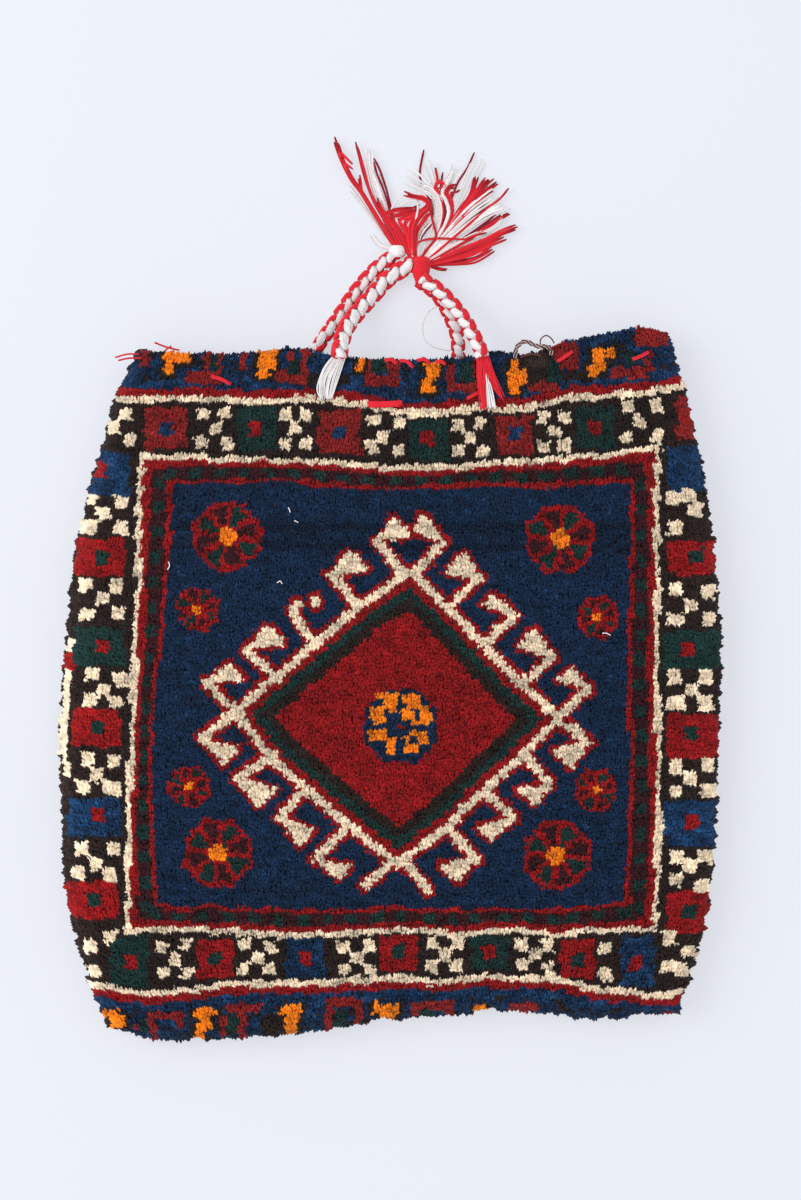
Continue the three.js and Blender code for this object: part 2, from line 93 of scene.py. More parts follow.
# Knots of the pile
KNOT_WIDTH = 2.6
KNOT_HEIGHT = 1.74
PILE = 5.4  # yarn ends over the foundation
PRESSED_PILE = 1.9  # the same under the bag
LEAN = 0.75  # the pile leans towards the mouth by this share of its height
FOUNDATION = 2.6
MOUTH_TURN = 3  # the pile of the last rows hides this much of the mouth edge

# Yarns of the handles
BRAID = 8.2
KNOT_REACH = 5  # the visible braids run this far into the knots
SURFACE_GAP = 0.45  # between the pile and what lies on it
# The third slot draws crimson yarn and also painted shade: dark locks laid under the tassels' fans.
WHITE_SLOT, RED_SLOT, CRIMSON_AND_SHADE_SLOT = 0, 1, 2


def srgb(red, green, blue):
    """Linear colour of an sRGB one in 0 to 255."""
    parts = np.array([red, green, blue]) / 255
    return tuple(np.where(parts <= 0.04045, parts / 12.92, ((parts + 0.055) / 1.055) ** 2.4))


# Yarn colours of the knots
PILE_COLOURS = {
    "navy": srgb(17, 43, 73),
    "blue": srgb(25, 60, 98),
    "red": srgb(151, 20, 24),
    "brown": srgb(44, 32, 29),
    "green": srgb(25, 54, 51),
    "ivory": srgb(245, 225, 197),
    "orange": srgb(248, 136, 22),
    "maroon": srgb(60, 24, 30),
    "madder": srgb(142, 35, 34),
    "worn": srgb(66, 54, 50),
}
NAVY, BLUE, RED, BROWN, GREEN, IVORY, ORANGE, MAROON, MADDER, WORN = range(len(PILE_COLOURS))
# Other colours
COTTON_WHITE = srgb(254, 249, 249)
BRIGHT_RED = srgb(240, 42, 57)
# Crimson cotton, also used for dark locks under the tassels' fans that are painted shade between the yarns
CRIMSON_AND_SHADE_RED = srgb(134, 20, 38)
DARK_RED = srgb(120, 26, 30)
THREAD_BROWN = srgb(96, 50, 46)
THREAD_PALE = srgb(196, 176, 166)
FOUNDATION_BROWN = srgb(92, 70, 60)
BACK_RED = srgb(112, 44, 42)
PAPER = srgb(238, 241, 249)


# Camera and light

def add_camera():
    """Camera straight over the middle of the photo frame, with its top towards the mouth."""
    camera = bpy.data.objects.new("camera", bpy.data.cameras.new("camera"))
    bpy.context.scene.collection.objects.link(camera)
    x, y = from_pixels(PHOTO_WIDTH / 2, PHOTO_HEIGHT / 2)
    camera.location = (x * MM, y * MM, (FOCUS_HEIGHT + CAMERA_DISTANCE) * MM)
    camera.data.lens = camera.data.sensor_width * CAMERA_DISTANCE / (PHOTO_HEIGHT * PIXEL)
    bpy.context.scene.camera = camera


def add_area_light(name, place, size, power):
    """Square soft lamp that faces the bag."""
    data = bpy.data.lights.new(name, "AREA")
    data.size = size
    data.energy = power
    lamp = bpy.data.objects.new(name, data)
    bpy.context.scene.collection.objects.link(lamp)
    lamp.location = place
    direction = Vector((0, 0, 0)) - lamp.location
    lamp.rotation_euler = direction.to_track_quat("-Z", "Y").to_euler()


def add_lights():
    """Even light of a bright studio and one soft lamp at the left."""
    world = bpy.data.worlds.new("studio")
    world.use_nodes = True
    set_inputs(world.node_tree.nodes["Background"], {"Color": (0.97, 0.985, 1.0, 1), "Strength": 0.77})
    bpy.context.scene.world = world
    add_area_light("softbox", place=(-1.6, 0.4, 1.6), size=1.4, power=20)
    bpy.context.scene.view_settings.view_transform = "Standard"


def add_floor():
    """Plain pale paper, six metres wide."""
    bpy.ops.mesh.primitive_plane_add(size=6)
    floor = bpy.context.object
    floor.name = "floor"
    material, shader = new_material("floor_paper", PAPER, roughness=0.9)
    mottle(material, shader, PAPER, scale=3, amount=0.01)
    lift_shadows(material, shader, PAPER)
    floor.data.materials.append(material)


def lift_shadows(material, shader, colour):
    """Mixes in the floor's own colour, so that shadows are as faint as under a large light tent."""
    glow_share = 0.64
    path = add_node(material, "ShaderNodeLightPath")
    share = add_node(material, "ShaderNodeMath", {1: glow_share}, operation="MULTIPLY")
    glow = add_node(material, "ShaderNodeEmission", {"Color": (*colour, 1)})
    mix = add_node(material, "ShaderNodeMixShader")
    link = material.node_tree.links.new
    link(path.outputs["Is Camera Ray"], share.inputs[0])
    link(share.outputs["Value"], mix.inputs["Fac"])
    link(shader.outputs["BSDF"], mix.inputs[1])
    link(glow.outputs["Emission"], mix.inputs[2])
    link(mix.outputs["Shader"], material.node_tree.nodes["Material Output"].inputs["Surface"])


# Materials

def set_inputs(node, values):
    """Sets values on a node's input sockets."""
    for socket, value in values.items():
        node.inputs[socket].default_value = value


def add_node(material, kind, values=None, operation=None):
    """Shader node with values on its input sockets."""
    node = material.node_tree.nodes.new(kind)
    if operation:
        node.operation = operation
    set_inputs(node, values or {})
    return node


def new_material(name, colour, roughness, sheen=0.0):
    """Matt material and its shader."""
    material = bpy.data.materials.new(name)
    material.use_nodes = True
    shader = material.node_tree.nodes["Principled BSDF"]
    set_inputs(shader, {
        "Base Color": (*colour, 1), "Roughness": roughness, "Specular IOR Level": 0.2, "Sheen Weight": sheen,
        "Sheen Roughness": 0.5,
    })
    return material, shader


def in_object_space(material, texture):
    """The value of a texture that is laid in the object's own space."""
    place = add_node(material, "ShaderNodeTexCoord")
    material.node_tree.links.new(place.outputs["Object"], texture.inputs["Vector"])
    return texture.outputs["Fac"]


def noise(material, scale, detail=3.0):
    """Value of a noise in cycles to a metre."""
    texture = add_node(material, "ShaderNodeTexNoise", {"Scale": scale, "Detail": detail})
    return in_object_space(material, texture)


def mottle(material, shader, colour, scale, amount, shade_attribute=None):
    """Base colour that wanders by an amount with a noise, times a shade that the mesh carries."""
    link = material.node_tree.links.new
    spread = add_node(material, "ShaderNodeMapRange", {
        "From Min": 0.3, "From Max": 0.7, "To Min": 1 - amount, "To Max": 1 + amount,
    })
    link(noise(material, scale), spread.inputs["Value"])
    factor = spread.outputs["Result"]
    if shade_attribute:
        shade = add_node(material, "ShaderNodeAttribute")
        shade.attribute_name = shade_attribute
        product = add_node(material, "ShaderNodeMath", operation="MULTIPLY")
        link(factor, product.inputs[0])
        link(shade.outputs["Fac"], product.inputs[1])
        factor = product.outputs["Value"]
    tint = add_node(material, "ShaderNodeVectorMath", {0: colour}, operation="SCALE")
    link(factor, tint.inputs["Scale"])
    link(tint.outputs["Vector"], shader.inputs["Base Color"])


def add_bump(material, shader, height, strength, distance):
    """Uneven surface with the height that a texture gives."""
    bump = add_node(material, "ShaderNodeBump", {"Strength": strength, "Distance": distance})
    material.node_tree.links.new(height, bump.inputs["Height"])
    material.node_tree.links.new(bump.outputs["Normal"], shader.inputs["Normal"])


def yarn_material(name, colour, roughness=0.85, sheen=0.15, amount=0.06):
    """Spun yarn: a mottled colour with the mesh's own shade, fine fibre and a little sheen."""
    material, shader = new_material(name, colour, roughness, sheen)
    mottle(material, shader, colour, scale=260, amount=amount, shade_attribute="shade")
    add_bump(material, shader, noise(material, scale=2600, detail=2.0), strength=0.4, distance=0.0003)
    return material


def weave_material(name, colour):
    """Flat weave: fine ribs of weft over warp, in a colour that wanders."""
    material, shader = new_material(name, colour, roughness=0.9, sheen=0.1)
    mottle(material, shader, colour, scale=40, amount=0.16)
    ribs = add_node(material, "ShaderNodeTexWave", {"Scale": 100, "Distortion": 1.5, "Detail Scale": 4})
    add_bump(material, shader, in_object_space(material, ribs), strength=0.5, distance=0.0006)
    return material


# Meshes

def from_pixels(x, y):
    """Place in millimetres of a pixel of the photo frame."""
    return (x - ORIGIN_X) * PIXEL, (ORIGIN_Y - y) * PIXEL


def seen_at(places):
    """Pixels of the photo frame at which the camera sees places. Higher ones lie further out."""
    nearer = CAMERA_DISTANCE / (CAMERA_DISTANCE + FOCUS_HEIGHT - places[..., 2])
    x = ORIGIN_X + places[..., 0] / PIXEL
    y = ORIGIN_Y - places[..., 1] / PIXEL
    middle_x, middle_y = PHOTO_WIDTH / 2, PHOTO_HEIGHT / 2
    return middle_x + (x - middle_x) * nearer, middle_y + (y - middle_y) * nearer


def add_mesh(name, vertices, faces, materials, shade=None, slots=None, uv=None):
    """Smooth mesh object from vertices in millimetres and faces of equally many corners."""
    mesh = bpy.data.meshes.new(name)
    corners = faces.shape[1]
    mesh.vertices.add(len(vertices))
    mesh.vertices.foreach_set("co", (vertices * MM).astype(np.float32).ravel())
    mesh.loops.add(faces.size)
    mesh.loops.foreach_set("vertex_index", faces.astype(np.int32).ravel())
    mesh.polygons.add(len(faces))
    mesh.polygons.foreach_set("loop_start", np.arange(0, faces.size, corners, dtype=np.int32))
    mesh.polygons.foreach_set("use_smooth", np.ones(len(faces), dtype=bool))
    for material in materials:
        mesh.materials.append(material)
    if slots is not None:
        mesh.polygons.foreach_set("material_index", slots.astype(np.int32))
    if shade is not None:
        attribute = mesh.attributes.new("shade", "FLOAT", "POINT")
        attribute.data.foreach_set("value", shade.astype(np.float32))
    if uv is not None:
        layer = mesh.uv_layers.new(name="OFBake")
        layer.data.foreach_set("uv", uv[faces.ravel()].astype(np.float32).ravel())
    mesh.update(calc_edges=True)
    piece = bpy.data.objects.new(name, mesh)
    bpy.context.scene.collection.objects.link(piece)
    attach(piece, "root")
    return piece


def stand_for(piece, node):
    """Hides the solid that a piece stands for."""
    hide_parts(node)


def grid_faces(rows, columns):
    """Quads of a grid of vertices that is stored row by row."""
    corner = np.arange(rows - 1)[:, None] * columns + np.arange(columns - 1)[None, :]
    quads = np.stack([corner, corner + 1, corner + columns + 1, corner + columns], axis=-1)
    return quads.reshape(-1, 4)


class Bundle:
    """Yarns that are gathered into one mesh, with a shade and a material slot for each."""

    def __init__(self):
        self.vertices, self.triangles, self.shades, self.slots = [], [], [], []
        self.count = 0

    def add(self, path, radius, sides=6, shade=1.0, slot=0):
        """Adds a yarn with one shade or one for each of its points."""
        vertices, triangles = tube(path, radius, sides)
        shades = np.broadcast_to(np.asarray(shade, float), len(path))
        self.vertices.append(vertices)
        self.triangles.append(triangles + self.count)
        self.shades.append(np.concatenate([np.repeat(shades, sides), shades[[0, -1]]]))
        self.slots.append(np.full(len(triangles), slot))
        self.count += len(vertices)

    def build(self, name, materials):
        return add_mesh(
            name, np.vstack(self.vertices), np.vstack(self.triangles), materials,
            np.concatenate(self.shades), np.concatenate(self.slots),
        )


def unit(vectors):
    return vectors / np.maximum(np.linalg.norm(vectors, axis=-1, keepdims=True), 1e-9)


def frames_along(path):
    """Tangents of a path and two normals that don't twist round it."""
    steep = 0.9
    tangents = unit(np.gradient(path, axis=0))
    normals = np.empty_like(path)
    normal = np.array([0, 0, 1.0]) if abs(tangents[0, 2]) < steep else np.array([1.0, 0, 0])
    for i, tangent in enumerate(tangents):
        normal = unit(normal - tangent * (normal @ tangent))
        normals[i] = normal
    return tangents, normals, np.cross(tangents, normals)


def tube(path, radius, sides):
    """Closed round tube along a path, with one radius or one for each point."""
    path = np.asarray(path, float)
    _, normals, binormals = frames_along(path)
    turn = 2 * math.pi * np.arange(sides) / sides
    ring = np.cos(turn)[:, None] * normals[:, None] + np.sin(turn)[:, None] * binormals[:, None]
    radii = np.broadcast_to(np.asarray(radius, float), len(path))
    rings = path[:, None] + radii[:, None, None] * ring
    vertices = np.vstack([rings.reshape(-1, 3), path[:1], path[-1:]])
    i = np.arange(sides)
    j = (i + 1) % sides
    start = np.arange(len(path) - 1)[:, None] * sides
    here, onward = start + i, start + j
    around = np.stack([here, onward, onward + sides, here, onward + sides, here + sides], axis=-1)
    last = (len(path) - 1) * sides
    first_centre, last_centre = len(path) * sides, len(path) * sides + 1
    first_cap = np.stack([j, i, np.full(sides, first_centre)], axis=-1)
    last_cap = np.stack([last + i, last + j, np.full(sides, last_centre)], axis=-1)
    return vertices, np.vstack([around.reshape(-1, 3), first_cap, last_cap])


def smooth_path(points, spacing):
    """Points at an even spacing on a smooth curve through the given ones."""
    points = np.asarray(points, float)
    ends = np.vstack([2 * points[0] - points[1], points, 2 * points[-1] - points[-2]])
    steps = 10
    t = (np.arange(steps) / steps)[:, None]
    pieces = []
    for a, b, c, d in zip(ends[:-3], ends[1:-2], ends[2:-1], ends[3:]):
        pieces.append(0.5 * (2 * b + (c - a) * t + (2 * a - 5 * b + 4 * c - d) * t**2
                             + (3 * b - a - 3 * c + d) * t**3))
    dense = np.vstack([*pieces, points[-1:]])
    travel = np.concatenate([[0], np.cumsum(np.linalg.norm(np.diff(dense, axis=0), axis=1))])
    count = max(int(round(travel[-1] / spacing)) + 1, 4)
    at = np.linspace(0, travel[-1], count)
    return np.column_stack([np.interp(at, travel, dense[:, k]) for k in range(3)])


# Bag surface

def smooth_value(points, places):
    """Values on the smooth curve through (place, value) points, level beyond its ends."""
    knots, values = np.array(points, float).T
    slopes = np.empty_like(values)
    slopes[1:-1] = (values[2:] - values[:-2]) / (knots[2:] - knots[:-2])
    slopes[0] = (values[1] - values[0]) / (knots[1] - knots[0])
    slopes[-1] = (values[-1] - values[-2]) / (knots[-1] - knots[-2])
    places = np.clip(places, knots[0], knots[-1])
    i = np.clip(np.searchsorted(knots, places, side="right") - 1, 0, len(knots) - 2)
    span = knots[i + 1] - knots[i]
    t = (places - knots[i]) / span
    rise = values[i + 1] - values[i]
    bend_start = slopes[i] * span - rise
    bend_end = rise - slopes[i + 1] * span
    return values[i] + t * rise + t * (1 - t) * (bend_start * (1 - t) + bend_end * t)


def smoothstep(value, low, high):
    t = np.clip((value - low) / (high - low), 0, 1)
    return t * t * (3 - 2 * t)


def side_edges(v):
    """Left and right edge of the bag at a share of its length."""
    return -BAG_WIDTH / 2 + smooth_value(LEFT_INSET, v), BAG_WIDTH / 2 - smooth_value(RIGHT_INSET, v)


def end_edges(u):
    """Base and mouth edge of the bag at a share of its width."""
    return -BAG_LENGTH / 2 + smooth_value(BASE_INSET, u), BAG_LENGTH / 2 - smooth_value(MOUTH_INSET, u)


def plan(u, v):
    """Place on the bag seen from above: u from left to right, v from base to mouth, both 0 to 1."""
    left, right = side_edges(v)
    base, mouth = end_edges(u)
    return left + (right - left) * u, base + (mouth - base) * v


def shares_at(x, y):
    """The u and v of places seen from above, found by going to and fro between them."""
    rounds = 6
    v = np.full(np.shape(x), 0.5)
    for _ in range(rounds):
        left, right = side_edges(v)
        u = np.clip((x - left) / (right - left), 0, 1)
        base, mouth = end_edges(u)
        v = np.clip((y - base) / (mouth - base), 0, 1)
    return u, v


def front_height(u, v):
    """Height of the pile tips away from the rounded sides."""
    swell = 1 - (2 * u - 1) ** 4
    belly = BELLY_RISE * np.sin(math.pi * v)
    return EDGE_THICKNESS + swell * (belly - MOUTH_SAG * smoothstep(v, MOUTH_SAG_START, 1))


def back_height(v):
    return BACK_LIFT * smoothstep(v, BACK_LIFT_START, BACK_LIFT_FULL)


def pile_top(x, y):
    return front_height(*shares_at(np.asarray(x, float), np.asarray(y, float)))


MOUTH_MIDDLE = float(plan(np.array(0.5), np.array(1.0))[1])


def bag_surface(u, v, rise, depth=0.0):
    """Place on the bag's skin, or at a depth in it. The rise is 1 on top, 0 at the fold and -1 below."""
    x, y = plan(u, v)
    top = front_height(u, v) - depth
    bottom = back_height(v) + depth
    z = EDGE_RADIUS + np.where(rise >= 0, top - EDGE_RADIUS, EDGE_RADIUS - bottom) * rise
    return np.stack(np.broadcast_arrays(x, y, z), axis=-1)


# Woven design, in pixels of the photo frame

OUTER_TOP = [
    (90, 399), (200, 397), (250, 400), (320, 397), (360, 402), (400, 411), (440, 412), (480, 405),
    (500, 408), (530, 406), (565, 397), (600, 395), (650, 390), (720, 381),
]
OUTER_BOTTOM = [
    (70, 981), (100, 985), (120, 989), (150, 992), (170, 992), (220, 984), (260, 982), (320, 982),
    (360, 979), (410, 977), (440, 981), (480, 976), (540, 977), (560, 979), (600, 989), (630, 990),
    (650, 995), (720, 987),
]
FRAME_OUTLINE = [
    (140, 456), (260, 458), (330, 461), (380, 465), (430, 467), (480, 463), (540, 460), (600, 453),
    (658, 447), (657, 500), (658, 700), (659, 800), (656, 928), (590, 928), (560, 934), (530, 930),
    (490, 929), (450, 934), (420, 928), (350, 932), (280, 934), (230, 930), (170, 928), (127, 930),
    (129, 800), (131, 740), (134, 680), (138, 560),
]
FIELD_OUTLINE = [
    (172, 483), (280, 481), (330, 485), (370, 489), (420, 488), (480, 485), (540, 487), (590, 483),
    (630, 482), (630, 560), (627, 680), (630, 780), (625, 899), (590, 905), (540, 907), (430, 907),
    (395, 904), (350, 907), (290, 908), (240, 906), (215, 903), (180, 906), (158, 901), (155, 860),
    (153, 800), (153, 740), (156, 690), (161, 650), (164, 610), (169, 560), (172, 520),
]
LEFT_SELVAGE = [(70, 640), (67, 690), (64, 722), (63, 750), (66, 772)]
LEFT_RED_PATCH = (55, 652, 76, 668)
DIAMOND = [
    (410, 570), (357, 607), (314, 643), (275, 676), (235, 711), (271, 757), (308, 789), (350, 825),
    (398, 862), (448, 825), (485, 789), (524, 752), (560, 717), (520, 682), (450, 608),
]
# Hooks round the diamond as root, corner, tip and beak
HOOKS = [
    [(237, 711), (207, 681), (228, 663), (244, 678)], [(277, 678), (246, 648), (268, 625), (284, 641)],
    [(359, 605), (331, 573), (349, 550), (367, 567)], [(402, 570), (378, 540), (394, 517), (409, 533)],
    [(415, 570), (443, 540), (423, 512), (414, 529)], [(453, 602), (479, 576), (463, 552), (447, 571)],
    [(488, 639), (514, 614), (496, 594), (483, 603)], [(525, 682), (553, 655), (535, 628), (519, 645)],
    [(559, 716), (589, 687), (572, 668), (559, 678)], [(557, 718), (589, 740), (572, 766), (554, 750)],
    [(233, 712), (202, 737), (223, 763), (238, 748)], [(274, 754), (236, 777), (258, 803), (275, 789)],
    [(306, 788), (280, 816), (299, 844), (312, 829)], [(349, 824), (316, 858), (339, 876), (351, 866)],
    [(448, 827), (476, 858), (459, 880), (441, 864)], [(483, 789), (514, 816), (491, 838), (479, 827)],
    [(524, 754), (550, 783), (534, 803), (518, 789)],
]
# Plain strokes between them: a hook whose head stands off, and the two feet
STROKES = [
    [(317, 644), (293, 612), (297, 602)], [(315, 597), (316, 603)], [(390, 863), (366, 884)],
    [(406, 863), (428, 889)],
]
ROSETTE_PETALS = [
    (386, 691, 398, 711), (375, 692, 384, 696), (371, 706, 382, 721), (383, 716, 390, 721),
    (404, 694, 421, 702), (403, 706, 413, 719), (408, 701, 419, 708), (419, 704, 431, 720),
    (411, 718, 430, 724), (371, 727, 387, 740), (387, 737, 396, 754), (417, 729, 429, 744),
    (403, 736, 411, 753), (404, 744, 419, 753), (410, 730, 418, 736),
]
CENTRE = (401, 725)
LARGE_ROSETTES = [(227, 535), (560, 538), (218, 852), (557, 854)]
SMALL_ROSETTES = [(197, 608), (598, 615), (189, 785), (596, 789)]

# Border squares as (left, top, right, bottom, colour, colour of the eye, eye's x, eye's y)
SQUARES = [
    (144, 405, 187, 448, MADDER, BLUE, 166, 428), (237, 405, 277, 449, GREEN, RED, 255, 427),
    (318, 408, 362, 452, MADDER, BLUE, 340, 431), (410, 418, 447, 459, GREEN, RED, 428, 438),
    (496, 414, 533, 453, MADDER, BLUE, 516, 433), (576, 405, 615, 447, GREEN, RED, 596, 426),
    (677, 395, 705, 438, MADDER, RED, 690, 416), (90, 450, 130, 495, BLUE, RED, 100, 470),
    (74, 537, 125, 575, RED, GREEN, 102, 557), (73, 626, 125, 665, GREEN, RED, 103, 645),
    (72, 708, 120, 745, RED, GREEN, 98, 727), (66, 797, 122, 835, BLUE, RED, 97, 814),
    (55, 880, 118, 918, RED, GREEN, 94, 899), (668, 445, 712, 490, BLUE, BLUE, 690, 468),
    (668, 540, 725, 573, RED, GREEN, 697, 555), (665, 630, 730, 668, GREEN, RED, 690, 648),
    (667, 713, 730, 757, RED, GREEN, 693, 733), (665, 800, 728, 845, BLUE, RED, 693, 821),
    (667, 890, 722, 933, RED, GREEN, 690, 912), (110, 935, 148, 985, GREEN, RED, 131, 961),
    (197, 938, 233, 977, RED, GREEN, 214, 957), (285, 937, 325, 977, BLUE, RED, 306, 957),
    (380, 934, 418, 970, RED, GREEN, 398, 951), (470, 934, 510, 969, GREEN, RED, 489, 951),
    (560, 938, 595, 977, RED, GREEN, 577, 959), (621, 935, 655, 985, BLUE, RED, 635, 962),
]
DOTS = [
    (125, 413), (130, 440), (203, 412), (225, 412), (217, 427), (200, 442), (227, 442), (286, 412),
    (306, 413), (294, 427), (284, 442), (306, 442), (374, 418), (398, 422), (383, 436), (372, 445),
    (398, 449), (459, 424), (480, 422), (469, 436), (459, 448), (482, 449), (543, 416), (564, 416),
    (554, 430), (543, 445), (565, 444), (628, 405), (657, 404), (640, 420), (627, 436), (657, 436),
    (121, 501), (103, 512), (87, 526), (121, 526), (86, 584), (117, 584), (102, 597), (86, 613),
    (118, 612), (93, 672), (121, 678), (105, 688), (88, 699), (115, 700), (85, 757), (114, 759),
    (97, 773), (82, 785), (112, 786), (80, 847), (113, 848), (96, 862), (79, 871), (110, 874), (674, 497),
    (688, 494), (697, 508), (675, 527), (676, 588), (708, 590), (691, 604), (676, 618), (709, 618),
    (676, 675), (707, 676), (691, 688), (676, 702), (708, 702), (676, 766), (708, 764), (690, 777),
    (677, 790), (709, 790), (676, 855), (706, 855), (690, 865), (675, 878), (703, 885), (90, 945),
    (92, 970), (110, 935), (161, 945), (186, 943), (175, 957), (163, 973), (187, 972), (244, 944),
    (271, 946), (258, 956), (245, 968), (270, 968), (342, 945), (368, 944), (357, 956), (343, 969),
    (370, 969), (431, 942), (458, 943), (444, 953), (431, 965), (457, 965), (522, 943), (548, 944),
    (536, 954), (522, 963), (549, 967), (606, 946), (606, 974), (670, 938), (688, 950), (668, 965),
    (682, 970), (111, 426), (90, 499),
]
END_DOT = (12, 12)  # width and height in the borders along the mouth and the base
SIDE_DOT = (14.5, 13.5)
EYE = (13, 14)
BORDER_LEFT, BORDER_RIGHT = 127, 660
WORN_PLACES = [(520, 347, 546, 366), (356, 426, 362, 436)]
# Darker stripes of the navy field as (middle, half height, lightness)
NAVY_STRIPES = [(533, 14, 0.85), (526, 3.5, 0.64), (546, 4, 0.6)]
# Bands of the hidden border past the folds, as (rise at which it begins, colour)
HIDDEN_BANDS = [(-0.05, BROWN), (-0.35, IVORY), (-0.6, RED), (-0.8, BLUE)]

# Patches of the blue outer bands as (left, top, right, bottom)
BAND_RED = [
    (140, 346, 150, 366), (204, 345, 211, 366), (216, 345, 222, 382), (186, 369, 222, 382),
    (240, 352, 247, 367), (276, 367, 288, 382), (286, 349, 293, 362), (300, 345, 309, 384),
    (276, 373, 306, 382), (364, 356, 372, 382), (366, 373, 399, 386), (387, 355, 400, 380),
    (447, 362, 456, 388), (473, 358, 480, 388), (447, 381, 478, 391), (528, 381, 559, 391),
    (549, 342, 579, 368), (610, 366, 647, 377), (635, 328, 668, 345), (645, 346, 653, 370),
    (149, 1011, 184, 1019), (149, 1019, 157, 1042), (177, 1019, 185, 1030), (133, 1023, 140, 1030),
    (229, 1002, 262, 1011), (238, 1002, 246, 1042), (220, 1016, 226, 1042), (325, 997, 362, 1006),
    (325, 1000, 333, 1030), (354, 1000, 362, 1026), (410, 1000, 455, 1010), (410, 1006, 418, 1022),
    (447, 1006, 455, 1020), (508, 1003, 538, 1011), (640, 1013, 672, 1022),
]
BAND_GREEN = [
    (210, 354, 218, 369), (288, 358, 300, 373), (372, 352, 387, 371), (458, 362, 472, 380),
    (549, 357, 559, 381), (625, 350, 636, 364), (139, 1017, 148, 1032), (226, 1011, 238, 1034),
    (334, 1012, 346, 1030), (420, 1011, 436, 1022),
]
BAND_BROWN = [
    (562, 369, 591, 379), (530, 347, 550, 381), (310, 372, 350, 384), (262, 1012, 280, 1035),
    (366, 1018, 406, 1030),
]
BAND_ORANGE = [
    (164, 346, 191, 363), (163, 363, 173, 374), (257, 346, 276, 368), (258, 368, 270, 376),
    (356, 350, 364, 370), (424, 360, 441, 376), (423, 376, 434, 386), (421, 384, 435, 392),
    (509, 360, 519, 392), (519, 367, 527, 382), (593, 346, 605, 372), (606, 346, 615, 358),
    (588, 364, 602, 375), (103, 1008, 120, 1016), (110, 1014, 126, 1027), (194, 1008, 216, 1015),
    (197, 1015, 211, 1028), (194, 1029, 204, 1040), (280, 1004, 303, 1013), (285, 1013, 298, 1034),
    (373, 1002, 398, 1013), (378, 1013, 394, 1019), (472, 1004, 487, 1011),
]


def near_line(x, y, points, closed=False):
    """Distance of places from a line through points, and how far along it the nearest place lies."""
    points = np.asarray(points, float)
    ends = np.roll(points, -1, axis=0) if closed else points[1:]
    starts = points if closed else points[:-1]
    best = np.full(x.shape, np.inf)
    along = np.zeros(x.shape)
    travel = 0.0
    for (ax, ay), (bx, by) in zip(starts, ends):
        length = math.hypot(bx - ax, by - ay)
        t = np.clip(((x - ax) * (bx - ax) + (y - ay) * (by - ay)) / length**2, 0, 1)
        distance = np.hypot(x - ax - t * (bx - ax), y - ay - t * (by - ay))
        closer = distance < best
        best = np.where(closer, distance, best)
        along = np.where(closer, travel + t * length, along)
        travel += length
    return best, along


def inside(x, y, points):
    """Whether places lie inside a closed outline."""
    points = np.asarray(points, float)
    result = np.zeros(x.shape, dtype=bool)
    for (ax, ay), (bx, by) in zip(points, np.roll(points, -1, axis=0)):
        if ay == by:
            continue
        crosses = (ay > y) != (by > y)
        result ^= crosses & (x < ax + (y - ay) * (bx - ax) / (by - ay))
    return result


class Design:
    """Colours of the knots, painted shape over shape at their places in the photo frame."""

    def __init__(self, x, y):
        self.x, self.y = x, y
        self.colour = np.full(x.shape, BROWN)

    def paint(self, where, colour):
        self.colour[where] = colour

    def box(self, left, top, right, bottom, colour):
        self.paint((self.x > left) & (self.x < right) & (self.y > top) & (self.y < bottom), colour)

    def spot(self, x, y, size, colour):
        """Fills a box of a width and a height about its middle."""
        width, height = size
        self.box(x - width / 2, y - height / 2, x + width / 2, y + height / 2, colour)

    def stroke(self, points, width, colour):
        distance, _ = near_line(self.x, self.y, points)
        self.paint(distance < width / 2, colour)

    def patch(self, points, margin, colour):
        """Fills an outline that is widened by a margin."""
        distance, _ = near_line(self.x, self.y, points, closed=True)
        self.paint(inside(self.x, self.y, points) | (distance < margin), colour)


def paint_bands(design):
    """Outer bands past the ivory and red lines at the top and the bottom of the front."""
    ivory_edge, red_edge, blue_edge = 3.3, 10.5, 18
    brown_lots, blue_lots = 1.1, -0.3
    margin, foot = 4, 3
    above = np.interp(design.x, *np.array(OUTER_TOP, float).T) - design.y
    below = design.y - np.interp(design.x, *np.array(OUTER_BOTTOM, float).T)
    beyond = np.maximum(above, below)
    band = beyond > red_edge
    lots = clumps(design.x.shape)
    design.paint(beyond > -ivory_edge, IVORY)
    design.paint(beyond > ivory_edge, RED)
    design.paint(band, NAVY)
    design.paint(band & (lots > brown_lots), BROWN)
    design.paint(band & ((lots < blue_lots) | (beyond < blue_edge)), BLUE)
    for patches, colour in ((BAND_RED, MADDER), (BAND_GREEN, GREEN), (BAND_BROWN, BROWN)):
        for patch in patches:
            design.box(*patch, colour)
    for left, top, right, bottom in BAND_ORANGE:
        design.box(left - margin, top, right + margin, bottom + foot, BROWN)
    for patch in BAND_ORANGE:
        design.box(*patch, ORANGE)


def paint_border(design):
    """Squares with eyes and groups of ivory dots on the dark ground of the main border."""
    selvage = 6.5
    design.stroke(LEFT_SELVAGE, selvage, IVORY)
    design.box(*LEFT_RED_PATCH, RED)
    for left, top, right, bottom, colour, eye, eye_x, eye_y in SQUARES:
        design.box(left, top, right, bottom, colour)
        design.spot(eye_x, eye_y, EYE, eye)
    for x, y in DOTS:
        design.spot(x, y, END_DOT if BORDER_LEFT < x < BORDER_RIGHT else SIDE_DOT, IVORY)


